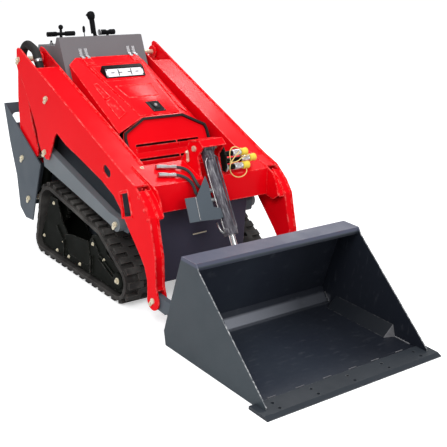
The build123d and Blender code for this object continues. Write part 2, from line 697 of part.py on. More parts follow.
with BuildPart() as hose_guard:
    with BuildSketch(GUARD_PLANE.offset(GUARD_RISE)):
        Polygon(*on_guard(GUARD), align=None)
    extrude(amount=SHEET)
    start, end = (GUARD_PLANE.from_local_coords((*place, GUARD_RISE))
                  for place in on_guard(GUARD_FOLD))
    with BuildSketch(Plane(origin=start, x_dir=(1, 0, 0), z_dir=end - start)):
        Polygon((0, 0), (-62, -22), (-62, -22 + SHEET), (0, SHEET), align=None)
    extrude(amount=(end - start).length)
    with BuildSketch(GUARD_PLANE.offset(GUARD_RISE - TILT_R)):          # foot on the barrel
        Polygon(*on_guard(GUARD_FOOT), align=None)
    extrude(amount=TILT_R)
    with BuildSketch(TILT_PLANE.offset(330)):
        Circle(TILT_R + FIT)
    extrude(amount=100, mode=Mode.SUBTRACT)
save(hose_guard, "hose_guard")

# ------------------------------------------------------------------ bucket
BACK_LOW = (-426.0, 72.0)                       # (y, z) of the back's outer face
BACK_TOP = (-535.0, 510.0)
HEEL = (-446.0, 0.0)
TOP_FRONT = (-649.0, 511.0)
SIDE_LIP_Y = -1214.0                            # front of the side plates
EDGE_BACK = LIP_Y + EDGE_DEPTH
BUCKET_SIDE = (
    HEEL, BACK_LOW, BACK_TOP, TOP_FRONT, (-672, 478), (SIDE_LIP_Y, 26),
    (SIDE_LIP_Y, EDGE_T + FIT), (EDGE_BACK + FIT, EDGE_T + FIT), (EDGE_BACK + FIT, 0),
)
with BuildPart() as bucket:
    half = BUCKET_W / 2
    with BuildSketch(station(-half + PLATE)):               # floor, back and top flange
        Polygon(HEEL, BACK_LOW, BACK_TOP, TOP_FRONT, (-655, 476), (-647, 476), (-643, 503),
                (-541, 502), (-437, 86), (-486, FLOOR_T), (EDGE_BACK + FIT, FLOOR_T),
                (EDGE_BACK + FIT, 0), align=None)
    extrude(amount=2 * (half - PLATE))
    for x in (-half, half - PLATE):
        with BuildSketch(station(x)):
            Polygon(*BUCKET_SIDE, align=None)
        extrude(amount=PLATE)
save(bucket, "bucket_shell")

HOLE_PITCH_X, HOLE_COUNT = 240.0, 5             # bolt holes for bolt-on teeth, in two rows
HOLE_ROWS = (44.0, 94.0)                        # distance of the rows from the lip
HOLE_R = 8.5
with BuildPart() as edge:
    reach = BUCKET_W / 2 + EDGE_OVER
    with BuildSketch(station(-reach)):
        Polygon((LIP_Y, 0), (LIP_Y, 5), (LIP_Y + 24, EDGE_T), (EDGE_BACK, EDGE_T),
                (EDGE_BACK, 0), align=None)
    extrude(amount=2 * reach)
    with BuildSketch(Plane.XY):
        for row in HOLE_ROWS:
            with Locations((0, SHIFT + LIP_Y + row)):
                with GridLocations(HOLE_PITCH_X, 1, HOLE_COUNT, 1):
                    Circle(HOLE_R)
    extrude(amount=EDGE_T, mode=Mode.SUBTRACT)
save(edge, "cutting_edge")


def behind(run, out):
    """The (y, z) place up the bucket's back and out from its rear face."""
    length, rise = along(BACK_LOW, BACK_TOP)
    up, away = radians(rise), radians(rise - 90)
    return (BACK_LOW[0] + run * cos(up) + out * cos(away),
            BACK_LOW[1] + run * sin(up) + out * sin(away))


ATTACH_X, ATTACH_T = 330.0, 16.0
with BuildPart() as attach_plate:
    with BuildSketch(station(-ATTACH_X)):
        Polygon(behind(24, FIT), behind(356, FIT), behind(356, ATTACH_T), behind(24, ATTACH_T),
                align=None)
    extrude(amount=2 * ATTACH_X)
    for x in (-EAR_X - 12, EAR_X):                          # ears for the tilt rod
        with BuildSketch(station(x)):
            Polygon(behind(60, FIT), behind(330, FIT), (-318, 366), (-268, 330), (-330, 170),
                    align=None)
            with Locations(PIN_T2):
                Circle(34)
        extrude(amount=12)
    fork_in, fork_out = LEG_IN + PLATE + RUN, ARM_OUT - PLATE - RUN
    with BuildSketch(station(-fork_out)):                   # cross bar in front of the legs
        Polygon(behind(24, FIT), behind(108, FIT), (-330, 176), (-306, 112), align=None)
    extrude(amount=2 * fork_out)
    for x in (fork_in, -fork_out):                          # ears inside the legs' forks
        with BuildSketch(station(x)):
            Polygon((-330, 100), (-344, 176), (-244, 182), (-232, 108), align=None)
            with Locations(PIN_P):
                Circle(38)
                Circle(PIN_R + FIT, mode=Mode.SUBTRACT)
        extrude(amount=fork_out - fork_in)
save(attach_plate, "attach_plate")

# ------------------------------------------------------------------ hood
HOOD_FRONT_Y, HOOD_REAR_Y = 452.0, 1080.0
HOOD_SECTIONS = (                               # y, then (x, z) of half the section, top to skirt
    (HOOD_FRONT_Y, ((136, 925), (284, 850), (284, 834))),
    (HOOD_REAR_Y, ((216, 1165), (264, 1139), (264, 962))),
)
HOOD_CUT = (                                    # (y, z) of what is cut from its foot and rear
    (440, 829), (462, 838), (772, 905), (912, 975), (974, 984), (1000, 1036), (1119, 1272),
    (1200, 1272), (1200, 700), (440, 700),
)


def hood_section(y, corners, inset):
    """Closed section of the hood at y, inset by the sheet's thickness and open downwards."""
    right = [(x - inset, z - inset) for x, z in corners]
    if inset:
        right[-1] = (right[-1][0], right[-1][1] - 40)
    with BuildSketch(Plane(origin=(0, SHIFT + y, 0), x_dir=(1, 0, 0), z_dir=(0, -1, 0))) as face:
        Polygon(*right, *((-x, z) for x, z in reversed(right)), align=None)
    return face.sketch


with BuildPart() as hood:
    for y, corners in HOOD_SECTIONS:
        add(hood_section(y, corners, 0))
    loft(ruled=True)
    with BuildPart(mode=Mode.PRIVATE) as hollow:
        for y, corners in HOOD_SECTIONS:
            add(hood_section(y, corners, SHEET))
        loft(ruled=True)
    add(hollow.part, mode=Mode.SUBTRACT)
    with BuildSketch(station(-TUB_X)):
        Polygon(*HOOD_CUT, align=None)
    extrude(amount=2 * TUB_X, mode=Mode.SUBTRACT)
save(hood, "hood")



def hood_top(y, up=FIT):
    """The (y, z) place a little above the hood's flat top."""
    (front, front_z), (rear, rear_z) = ((sec[0], sec[1][0][1]) for sec in HOOD_SECTIONS)
    return y, front_z + (y - front) * (rear_z - front_z) / (rear - front) + up


LAMP_HALF, LAMP_Y = 140.0, 905.0
with BuildPart() as light_bar:
    with BuildSketch(station(-LAMP_HALF)):
        Polygon(hood_top(LAMP_Y), hood_top(LAMP_Y - 70), hood_top(LAMP_Y - 82, 44),
                hood_top(LAMP_Y - 14, 47), align=None)
    extrude(amount=2 * LAMP_HALF)
save(light_bar, "light_bar")

HINGE = (1042.0, 1157.0)                        # (y, z) of the hood's hinge line
HINGE_X = (-150.0, 190.0)
KNUCKLE_R, LEAF_X = 6.0, 28.0
with BuildPart() as hinges:                     # moving leaves
    for x in HINGE_X:
        with BuildSketch(station(x - LEAF_X)):
            Polygon((HINGE[0], HINGE[1] + 2), hood_top(HINGE[0]), hood_top(HINGE[0] - 50),
                    hood_top(HINGE[0] - 50, 5), align=None)
        extrude(amount=2 * LEAF_X)
        with BuildSketch(station(x - LEAF_X)):
            with Locations(HINGE):
                Circle(KNUCKLE_R + 1)
        extrude(amount=2 * LEAF_X, mode=Mode.SUBTRACT)
        with BuildSketch(station(x - LEAF_X / 3)):
            Polygon((HINGE[0], HINGE[1] + 2), hood_top(HINGE[0]), hood_top(HINGE[0] - 50),
                    hood_top(HINGE[0] - 50, 5), align=None)
            with Locations(HINGE):
                Circle(KNUCKLE_R)
                Circle(KNUCKLE_R / 2 + FIT, mode=Mode.SUBTRACT)
        extrude(amount=2 * LEAF_X / 3)
save(hinges, "hood_hinges")

with BuildPart() as hinge_leaves:               # fixed leaves on the console's front
    for x in HINGE_X:
        for start in (x - LEAF_X, x + LEAF_X / 3 + FIT):
            with BuildSketch(station(start)):
                Polygon((HINGE[0], HINGE[1] + 1), (1070.7, 1165.1), (1090.9, 1205.1),
                        (1087.3, 1206.9), (1066.0, 1170.0), (HINGE[0], HINGE[1] + 5),
                        align=None)
                with Locations(HINGE):
                    Circle(KNUCKLE_R)
            extrude(amount=2 * LEAF_X / 3 - FIT)
        with BuildSketch(station(x - LEAF_X)):
            with Locations(HINGE):
                Circle(KNUCKLE_R / 2)
        extrude(amount=2 * LEAF_X)
save(hinge_leaves, "hinge_leaves")

# ------------------------------------------------------------------ operator platform
STEP_HINGE = (1262.0, 226.0)                    # (y, z) of the platform's hinge
STEP_TILT = 70.0                                # folded up against the apron
STEP_X, STEP_LEN, STEP_T = 250.0, 340.0, 30.0
step_plane = Plane(origin=(0, SHIFT + STEP_HINGE[0], STEP_HINGE[1]), x_dir=(1, 0, 0),
                   z_dir=(0, sin(radians(STEP_TILT)), -cos(radians(STEP_TILT))))
with BuildPart() as platform:
    with BuildSketch(step_plane.offset(-6)):
        with Locations((0, -STEP_LEN / 2 - 18)):
            Rectangle(2 * STEP_X, STEP_LEN - 36)
    extrude(amount=6)
    for x in (-STEP_X, STEP_X - 6):
        with BuildSketch(station(x)):
            Polygon(*(
                (STEP_HINGE[0] + a * cos(radians(STEP_TILT)) + b * sin(radians(STEP_TILT)),
                 STEP_HINGE[1] + a * sin(radians(STEP_TILT)) - b * cos(radians(STEP_TILT)))
                for a, b in ((-14, -10), (-14, 14), (40, STEP_T), (STEP_LEN, STEP_T),
                             (STEP_LEN, -6), (14, -14))), align=None)
            with Locations(STEP_HINGE):
                Circle(8 + FIT, mode=Mode.SUBTRACT)
        extrude(amount=6)
save(platform, "operator_platform")

with BuildPart() as step_mounts:                # ears and pin that carry the platform
    for x in (-STEP_X - RUN - 8, STEP_X + RUN):
        with BuildSketch(station(x)):
            Polygon((1232.8, 220), (1264, 206), (1282, 226), (1264, 246), (1240.1, 250), align=None)
        extrude(amount=8)
    with BuildSketch(station(-STEP_X - RUN - 8)):
        with Locations(STEP_HINGE):
            Circle(8)
    extrude(amount=2 * (STEP_X + RUN + 8))
save(step_mounts, "platform_mounts")

# ------------------------------------------------------------------ hydraulic fittings
COUPLERS = ((-14, 804, 256), (-4, 760, 330), (-48, 738, 249))       # y, z, outer end x
CAP_LEN = 44.0
with BuildPart() as couplers:
    seat = CHEEK_OUT + FIT
    with BuildSketch(station(seat)):
        Polygon((62, 768), (62, 850), (0, 872), (-26, 856), (-60, 800), (-70, 745), (-62, 718),
                (-12, 722), (46, 756), align=None)
        with Locations(PIN_T1):
            Circle(PIN_R + FIT, mode=Mode.SUBTRACT)
    extrude(amount=8)
    for y, z, end in COUPLERS:
        with BuildSketch(station(seat)):
            with Locations((y, z)):
                RegularPolygon(15, 6)
        extrude(amount=end - seat - CAP_LEN)
save(couplers, "coupler_block")
with BuildPart() as caps:
    for y, z, end in COUPLERS:
        with BuildSketch(station(end - CAP_LEN)):
            with Locations((y, z)):
                Circle(20)
        extrude(amount=CAP_LEN)
save(caps, "coupler_caps")

FITTINGS = (                                    # (x, y, z) of both ends of a hose fitting
    ((-289, 76, 755.8), (-176, 52, 747.9)),
    ((-318, 10, 734.1), (-221, -12, 726.9)),
)
SLEEVES = ((0.0, 0.52, 13.0), (0.52, 0.26, 10.5), (0.78, 0.22, 12.0))    # from, share, radius
with BuildPart() as fittings:
    for start, end in FITTINGS:
        axis = Vector(*end) - Vector(*start)
        foot = Plane(origin=Vector(*start) + Vector(0, SHIFT, 0), z_dir=axis)
        for begin, share, r in SLEEVES:
            with BuildSketch(foot.offset(begin * axis.length)):
                Circle(r)
            extrude(amount=share * axis.length)
save(fittings, "hose_fittings")

# hose sleeve that comes out of the right arm's open rear end and turns down behind it
SLEEVE_X, SLEEVE_R, SLEEVE_BEND = 430.0, 25.0, 60.0
SLEEVE_RUN = ((1090, 1094), (1150, 1196), (1262, 1224), (1312, 1160), (1312, 1062))
with BuildPart() as sleeve:
    with BuildLine(station(-SLEEVE_X)) as run:
        FilletPolyline(*SLEEVE_RUN, radius=SLEEVE_BEND)
    with BuildSketch(Plane(origin=run.line @ 0, z_dir=run.line % 0)):
        Circle(SLEEVE_R)
    sweep()
save(sleeve, "hose_sleeve")
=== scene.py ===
"""Looks of a stand-on compact track loader: finishes, small parts, light and camera."""
import json
import math

import bmesh
import bpy
from mathutils import Matrix, Vector


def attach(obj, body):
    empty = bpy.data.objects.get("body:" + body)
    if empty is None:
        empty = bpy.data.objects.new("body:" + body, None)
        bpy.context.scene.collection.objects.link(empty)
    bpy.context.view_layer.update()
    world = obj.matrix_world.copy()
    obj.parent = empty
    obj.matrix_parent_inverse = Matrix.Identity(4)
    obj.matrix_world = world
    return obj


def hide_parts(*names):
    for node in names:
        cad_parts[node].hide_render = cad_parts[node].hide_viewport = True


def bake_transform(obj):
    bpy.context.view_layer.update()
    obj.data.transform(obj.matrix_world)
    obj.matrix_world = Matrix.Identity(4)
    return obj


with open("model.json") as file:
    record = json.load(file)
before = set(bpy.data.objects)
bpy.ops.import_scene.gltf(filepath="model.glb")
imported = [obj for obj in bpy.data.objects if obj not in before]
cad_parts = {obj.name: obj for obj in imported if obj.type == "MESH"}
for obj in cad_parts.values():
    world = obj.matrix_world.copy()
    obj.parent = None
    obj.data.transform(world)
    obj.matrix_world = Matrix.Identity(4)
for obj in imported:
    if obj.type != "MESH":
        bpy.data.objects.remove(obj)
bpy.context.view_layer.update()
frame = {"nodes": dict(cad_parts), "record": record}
NODES = frame["nodes"]

# ------------------------------------------------------------------ camera
CAMERA_AT = Vector((-3.110, -3.979, 2.197))
AZIMUTH, ELEVATION, ROLL = 39.88, -19.62, 4.19          # degrees
LENS = 76.6                                             # on a 36 mm sensor


def make_camera():
    turn, rise, roll = (math.radians(v) for v in (AZIMUTH, ELEVATION, ROLL))
    ahead = Vector((math.sin(turn) * math.cos(rise), math.cos(turn) * math.cos(rise),
                    math.sin(rise)))
    right = ahead.cross(Vector((0, 0, 1))).normalized()
    up = right.cross(ahead)
    right, up = (right * math.cos(roll) + up * math.sin(roll),
                 up * math.cos(roll) - right * math.sin(roll))
    data = bpy.data.cameras.new("camera")
    data.lens, data.sensor_width = LENS, 36.0
    camera = bpy.data.objects.new("camera", data)
    bpy.context.scene.collection.objects.link(camera)
    camera.matrix_world = Matrix.Translation(CAMERA_AT) @ Matrix(
        (right, up, -ahead)).transposed().to_4x4()
    bpy.context.scene.camera = camera


make_camera()


# ------------------------------------------------------------------ light and floor
SOFTBOXES = (                                           # name, place, aim, size in m, watts
    ("key_light", (-3.5, -2.4, 4.4), (0, 0, 0.4), (2.6, 2.6), 150),
    ("front_light", (0.4, -5.0, 3.0), (0, -0.5, 0.4), (3.0, 1.6), 52),
    ("top_light", (-0.2, 0.8, 4.8), (0, 0, 0.5), (3.0, 4.0), 78),
    ("rim_light", (3.8, 2.8, 2.6), (0, 0.2, 0.6), (2.0, 3.0), 34),
    ("hood_light", (2.5, 2.2, 3.8), (0, 0.35, 0.9), (0.7, 0.7), 26),
)
SKY_SEEN, SKY_REFLECTED, SKY_FILL = 1.0, 0.32, 0.74     # strengths of the white studio
FILL_TINT = (0.95, 0.97, 1.0)
FLOOR_SIZE, FLOOR_GLOW = 30, 0.45


def softbox(name, place, aim, size, power):
    data = bpy.data.lights.new(name, "AREA")
    data.shape, data.size, data.size_y = "RECTANGLE", size[0], size[1]
    data.energy = power
    lamp = bpy.data.objects.new(name, data)
    bpy.context.scene.collection.objects.link(lamp)
    lamp.location = place
    lamp.rotation_euler = (Vector(aim) - Vector(place)).to_track_quat("-Z", "Y").to_euler()


def make_light():
    """Softboxes and a white studio that is dimmer in reflections than it looks."""
    for box in SOFTBOXES:
        softbox(*box)
    world = bpy.data.worlds.new("studio")
    bpy.context.scene.world = world
    world.use_nodes = True
    nodes, links = world.node_tree.nodes, world.node_tree.links
    nodes.clear()
    out = nodes.new("ShaderNodeOutputWorld")
    path = nodes.new("ShaderNodeLightPath")

    def sky(strength, tint=(1, 1, 1)):
        node = nodes.new("ShaderNodeBackground")
        node.inputs["Color"].default_value = (*tint, 1)
        node.inputs["Strength"].default_value = strength
        return node.outputs["Background"]

    def choose(flag, no, yes):
        node = nodes.new("ShaderNodeMixShader")
        links.new(path.outputs[flag], node.inputs["Fac"])
        links.new(no, node.inputs[1])
        links.new(yes, node.inputs[2])
        return node.outputs["Shader"]

    around = choose("Is Glossy Ray", sky(SKY_FILL, FILL_TINT), sky(SKY_REFLECTED))
    links.new(choose("Is Camera Ray", around, sky(SKY_SEEN)), out.inputs["Surface"])


def make_floor():
    """A white floor that keeps only a soft shadow below the tracks and the bucket."""
    mesh = bpy.data.meshes.new("floor")
    shape = bmesh.new()
    bmesh.ops.create_grid(shape, x_segments=1, y_segments=1, size=FLOOR_SIZE)
    shape.to_mesh(mesh)
    shape.free()
    floor = bpy.data.objects.new("floor", mesh)
    bpy.context.scene.collection.objects.link(floor)
    paint = bpy.data.materials.new("floor_paint")
    paint.use_nodes = True
    nodes, links = paint.node_tree.nodes, paint.node_tree.links
    shader = nodes["Principled BSDF"]
    shader.inputs["Base Color"].default_value = (0.8, 0.8, 0.8, 1)
    shader.inputs["Roughness"].default_value = 1.0
    shader.inputs["Specular IOR Level"].default_value = 0.0
    glow = nodes.new("ShaderNodeEmission")
    glow.inputs["Strength"].default_value = FLOOR_GLOW
    both = nodes.new("ShaderNodeAddShader")
    seen = nodes.new("ShaderNodeMixShader")
    path = nodes.new("ShaderNodeLightPath")
    links.new(shader.outputs["BSDF"], both.inputs[0])
    links.new(glow.outputs["Emission"], both.inputs[1])
    links.new(path.outputs["Is Camera Ray"], seen.inputs["Fac"])
    links.new(shader.outputs["BSDF"], seen.inputs[1])
    links.new(both.outputs["Shader"], seen.inputs[2])
    links.new(seen.outputs["Shader"], nodes["Material Output"].inputs["Surface"])
    mesh.materials.append(paint)


make_light()
make_floor()
bpy.context.scene.view_settings.view_transform = "Standard"


# ------------------------------------------------------------------ finishes
EDGE_SAMPLES = 4                                        # rays of each Bevel node


class Finish:
    """A material on Object coordinates with helpers for its pattern nodes."""

    def __init__(self, name, colour, roughness, metallic=0.0):
        self.material = bpy.data.materials.new(name)
        self.material.use_nodes = True
        tree = self.material.node_tree
        self.nodes, self.links = tree.nodes, tree.links
        self.shader = self.nodes["Principled BSDF"]
        self.shader.inputs["Base Color"].default_value = (*colour, 1)
        self.shader.inputs["Roughness"].default_value = roughness
        self.shader.inputs["Metallic"].default_value = metallic
        self.place = self.nodes.new("ShaderNodeTexCoord").outputs["Object"]
        self.normal = None

    def noise(self, scale, detail=3.0, roughness=0.5, stretch=None):
        source = self.place
        if stretch:
            mapping = self.nodes.new("ShaderNodeMapping")
            mapping.inputs["Scale"].default_value = stretch
            self.links.new(source, mapping.inputs["Vector"])
            source = mapping.outputs["Vector"]
        node = self.nodes.new("ShaderNodeTexNoise")
        node.inputs["Scale"].default_value = scale
        node.inputs["Detail"].default_value = detail
        node.inputs["Roughness"].default_value = roughness
        self.links.new(source, node.inputs["Vector"])
        return node.outputs["Fac"]

    def ramp(self, value, low, high, out_low=0.0, out_high=1.0):
        node = self.nodes.new("ShaderNodeMapRange")
        for key, number in (("From Min", low), ("From Max", high), ("To Min", out_low),
                            ("To Max", out_high)):
            node.inputs[key].default_value = number
        self.links.new(value, node.inputs["Value"])
        return node.outputs["Result"]

    def times(self, a, b):
        node = self.nodes.new("ShaderNodeMath")
        node.operation = "MULTIPLY"
        self.links.new(a, node.inputs[0])
        if isinstance(b, float):
            node.inputs[1].default_value = b
        else:
            self.links.new(b, node.inputs[1])
        return node.outputs[0]

    def round_edges(self, radius=0.0015):
        """Light runs round the edges of the plates as on a real rounded edge."""
        node = self.nodes.new("ShaderNodeBevel")
        node.samples = EDGE_SAMPLES
        node.inputs["Radius"].default_value = radius
        self.normal = node.outputs["Normal"]
        self.links.new(self.normal, self.shader.inputs["Normal"])

    def bump(self, value, distance, strength=1.0):
        node = self.nodes.new("ShaderNodeBump")
        node.inputs["Distance"].default_value = distance
        node.inputs["Strength"].default_value = strength
        self.links.new(value, node.inputs["Height"])
        if self.normal:
            self.links.new(self.normal, node.inputs["Normal"])
        self.normal = node.outputs["Normal"]
        self.links.new(self.normal, self.shader.inputs["Normal"])

    def tint(self, share, colour):
        """Mixes another colour over the base colour by a share from a pattern."""
        node = self.nodes.new("ShaderNodeMix")
        node.data_type = "RGBA"
        self.links.new(share, node.inputs["Factor"])
        socket = self.shader.inputs["Base Color"]
        if socket.is_linked:
            self.links.new(socket.links[0].from_socket, node.inputs["A"])
        else:
            node.inputs["A"].default_value = socket.default_value
        node.inputs["B"].default_value = (*colour, 1)
        self.links.new(node.outputs["Result"], socket)

    def rough(self, value, low, high):
        self.links.new(self.ramp(value, 0.3, 0.7, low, high), self.shader.inputs["Roughness"])

    def axis(self, name, absolute=False):
        """One Object coordinate in metres, without its sign where that is asked."""
        split = self.nodes.new("ShaderNodeSeparateXYZ")
        self.links.new(self.place, split.inputs["Vector"])
        if not absolute:
            return split.outputs[name]
        node = self.nodes.new("ShaderNodeMath")
        node.operation = "ABSOLUTE"
        self.links.new(split.outputs[name], node.inputs[0])
        return node.outputs[0]

    def edge_share(self, radius=0.004):
        """1 near the edges of a plate and 0 on its flats."""
        soft = self.nodes.new("ShaderNodeBevel")
        soft.samples = EDGE_SAMPLES
        soft.inputs["Radius"].default_value = radius
        own = self.nodes.new("ShaderNodeNewGeometry")
        dot = self.nodes.new("ShaderNodeVectorMath")
        dot.operation = "DOT_PRODUCT"
        self.links.new(soft.outputs["Normal"], dot.inputs[0])
        self.links.new(own.outputs["Normal"], dot.inputs[1])
        return self.ramp(dot.outputs["Value"], 0.98, 0.85, 0.0, 1.0)


def paint_layers(name, colour, roughness, peel=0.00012, shine=0.3, wear=(0.3, 0.3, 0.3), worn=0.35,
                 rim=0.004):
    """Sprayed paint with fine peel, soft patches and an edge tint: wear on most paints, a painted
    highlight along the edges on the red and black paints.
    """
    f = Finish(name, colour, roughness)
    f.shader.inputs["Specular IOR Level"].default_value = shine
    f.round_edges()
    lighter = tuple(min(1.0, c * 1.2 + 0.006) for c in colour)
    f.tint(f.ramp(f.noise(3.0, 4.0), 0.35, 0.75, 0.0, 0.35), lighter)
    # Edge tint: wear on most paints, and a painted highlight along the edges on red_paint and
    # black_paint.
    scuff_and_highlight = f.times(f.edge_share(rim), f.ramp(f.noise(40.0, 5.0, 0.7), 0.44, 0.64))
    f.tint(f.times(scuff_and_highlight, worn), wear)
    f.rough(f.noise(9.0, 5.0), roughness * 0.85, roughness * 1.2)
    f.bump(f.noise(420.0, 2.0), peel)
    return f


def paint(*args, **kwargs):
    return paint_layers(*args, **kwargs).material


FINISHES = {
    # Its pale pink edge tint is a painted highlight along the plates' edges.
    "red_paint": paint("red_paint", (0.77, 0.001, 0.006), 0.22, shine=0.055,
                       wear=(0.95, 0.34, 0.3), worn=0.7, rim=0.009),
    "slate_paint": paint("slate_paint", (0.074, 0.09, 0.107), 0.45, peel=0.0002, shine=0.2),
    "link_paint": paint("link_paint", (0.135, 0.152, 0.165), 0.42, peel=0.0002, shine=0.25),
    "grey_paint": paint("grey_paint", (0.155, 0.145, 0.152), 0.4, peel=0.0002, shine=0.25),
    # Its pale edge tint is a painted highlight: light outlines along the track frames' edges.
    "black_paint": paint("black_paint", (0.006, 0.007, 0.0055), 0.5, peel=0.0002, shine=0.04,
                         wear=(0.22, 0.21, 0.19), worn=0.9),
}


def bucket_paint():
    """Slate paint with painted shade darkening the inside, a painted highlight on the bend and the
    plates' edges rubbed bright.
    """
    side_low, side_high = 0.5425, 0.5495        # the side plates, out from the middle
    flange = 0.49                               # height where the top flange begins
    bend_low, bend_high, bend_front = 0.006, 0.062, -0.6
    f = paint_layers("bucket_paint", (0.042, 0.053, 0.062), 0.42, peel=0.0003, shine=0.2, worn=0.5)
    across, up = f.axis("X", absolute=True), f.axis("Z")
    inside = f.times(f.ramp(across, side_low + 0.003, side_low + 0.0035, 1.0, 0.0),
                     f.ramp(up, flange - 0.006, flange, 1.0, 0.0))
    # Painted shade: the inside is darkened in patches, and more again towards the side plate at +x.
    f.tint(f.times(inside, f.ramp(f.noise(2.2, 4.0), 0.3, 0.7, 0.72, 1.0)), (0.019, 0.023, 0.036))
    f.tint(f.times(inside, f.ramp(f.axis("X"), -0.1, 0.35, 0.0, 0.8)), (0.008, 0.0095, 0.014))
    # Painted highlight on the bend between the back and the floor, brightest on the left.
    bend = f.times(f.ramp(up, bend_low, bend_low + 0.006),
                   f.ramp(up, bend_high - 0.012, bend_high, 1.0, 0.0))
    bend = f.times(f.times(bend, inside), f.ramp(f.axis("Y"), bend_front, bend_front + 0.01))
    f.tint(f.times(bend, f.ramp(f.axis("X"), -0.55, 0.35, 0.9, 0.1)), (0.46, 0.48, 0.54))
    rim = f.times(f.ramp(across, side_low, side_low + 0.0005),
                  f.ramp(across, side_high - 0.0005, side_high, 1.0, 0.0))
    f.tint(f.times(rim, f.ramp(f.noise(60.0, 5.0, 0.7), 0.4, 0.62, 0.05, 0.8)), (0.5, 0.5, 0.5))
    f.tint(f.ramp(up, flange, flange + 0.006, 0.0, 0.8), (0.088, 0.092, 0.14))
    rust = f.times(f.ramp(up, flange + 0.01, flange + 0.02),
                   f.ramp(f.noise(16.0, 6.0, 0.7), 0.52, 0.66, 0.0, 0.55))
    f.tint(f.times(rust, f.edge_share(0.012)), (0.16, 0.03, 0.02))
    streak = f.noise(9.0, 5.0, 0.65, (1.0, 5.0, 1.0))
    f.tint(f.times(f.times(inside, f.ramp(streak, 0.58, 0.72)), 0.25), (0.12, 0.125, 0.14))
    return f.material


FINISHES["bucket_paint"] = bucket_paint()
# A much darker copy of the bucket's slate: painted shade for the stiffeners down inside the bucket.
FINISHES["bucket_shaded_slate"] = paint("bucket_shaded_slate", (0.009, 0.011, 0.015), 0.42, peel=0.0003,
                                  shine=0.2)
# A darker copy of the slate paint: painted shade of the arms over the front guard.
FINISHES["guard_shaded_slate"] = paint("guard_shaded_slate", (0.048, 0.046, 0.072), 0.45, peel=0.0002,
                                shine=0.15, worn=0.6)
FINISHES["edge_paint"] = paint("edge_paint", (0.026, 0.031, 0.038), 0.42, peel=0.0003, shine=0.2,
                               worn=0.7)


def barrel_paint():
    """Grey paint on the tilt cylinder, streaked along the barrel."""
    f = paint_layers("barrel_paint", (0.075, 0.068, 0.085), 0.35, peel=0.0002, shine=0.4, worn=0.6)
    streak = f.noise(55.0, 5.0, 0.65, (2.2, 0.4, 0.26))
    f.tint(f.ramp(streak, 0.52, 0.64, 0.0, 0.75), (0.27, 0.265, 0.28))
    f.tint(f.ramp(streak, 0.48, 0.38, 0.0, 0.85), (0.01, 0.009, 0.011))
    return f.material


FINISHES["barrel_paint"] = barrel_paint()


def metal(name, colour, roughness, metallic=1.0):
    """Plated or bare metal with duller patches."""
    f = Finish(name, colour, roughness, metallic)
    f.round_edges(0.0008)
    f.tint(f.ramp(f.noise(14.0, 5.0), 0.4, 0.8, 0.0, 0.5), tuple(c * 0.6 for c in colour))
    f.rough(f.noise(60.0, 4.0, 0.6), roughness * 0.7, roughness * 1.4)
    return f.material


FINISHES["bare_steel"] = metal("bare_steel", (0.55, 0.55, 0.56), 0.34)
FINISHES["zinc"] = metal("zinc", (0.8, 0.73, 0.55), 0.34, metallic=0.5)
FINISHES["bright_steel"] = metal("bright_steel", (0.85, 0.84, 0.86), 0.28, metallic=0.75)
FINISHES["rod_chrome"] = metal("rod_chrome", (0.86, 0.87, 0.88), 0.1)
FINISHES["cast_grey"] = metal("cast_grey", (0.2, 0.2, 0.2), 0.6)
FINISHES["weld_metal"] = metal("weld_metal", (0.3, 0.3, 0.32), 0.5)


def rubber(name, colour, roughness, dust):
    """Rubber with dust on its flats and pale rubbed edges, by one share."""
    f = Finish(name, colour, roughness)
    f.shader.inputs["Specular IOR Level"].default_value = 0.25
    f.round_edges(0.002)
    f.tint(f.ramp(f.noise(7.0, 6.0, 0.6), 0.42, 0.72, 0.0, dust), (0.13, 0.125, 0.115))
    rubbed = f.times(f.edge_share(0.006), f.ramp(f.noise(30.0, 5.0, 0.7), 0.4, 0.62))
    f.tint(f.times(rubbed, dust), (0.2, 0.17, 0.15))
    f.bump(f.noise(220.0, 3.0), 0.0003)
    return f.material


FINISHES["track_rubber"] = rubber("track_rubber", (0.024, 0.022, 0.021), 0.72, 0.5)
FINISHES["seal_rubber"] = rubber("seal_rubber", (0.012, 0.012, 0.012), 0.6, 0.1)
FINISHES["hose_rubber"] = rubber("hose_rubber", (0.03, 0.032, 0.035), 0.5, 0.3)


def plastic(name, colour, roughness):
    """Moulded plastic with a fine grain."""
    f = Finish(name, colour, roughness)
    f.shader.inputs["Specular IOR Level"].default_value = 0.07
    f.round_edges(0.001)
    f.tint(f.ramp(f.noise(12.0), 0.4, 0.8, 0.0, 0.3), tuple(c * 1.3 + 0.003 for c in colour))
    f.bump(f.noise(600.0, 2.0), 0.00015)
    return f.material


FINISHES["black_plastic"] = plastic("black_plastic", (0.007, 0.007, 0.008), 0.45)
FINISHES["yellow_plastic"] = plastic("yellow_plastic", (0.82, 0.62, 0.08), 0.4)
FINISHES["strap_yellow"] = plastic("strap_yellow", (0.78, 0.58, 0.22), 0.45)


def lamp_glass():
    """Clear cover over bright reflectors: pale and glossy, with a faint ribbed pattern."""
    f = Finish("lamp_glass", (0.82, 0.84, 0.88), 0.12)
    # A faint glow: painted brightness on the glass. The deck's gauge and meter glasses take this
    # finish too.
    f.shader.inputs["Emission Color"].default_value = (1.0, 0.98, 1.0, 1)
    f.shader.inputs["Emission Strength"].default_value = 0.12
    f.tint(f.ramp(f.noise(90.0, 2.0), 0.5, 0.75, 0.0, 0.35), (0.45, 0.46, 0.5))
    f.bump(f.noise(160.0, 1.0, 0.5, (1.0, 0.1, 0.1)), 0.0004)
    return f.material


FINISHES["lamp_glass"] = lamp_glass()

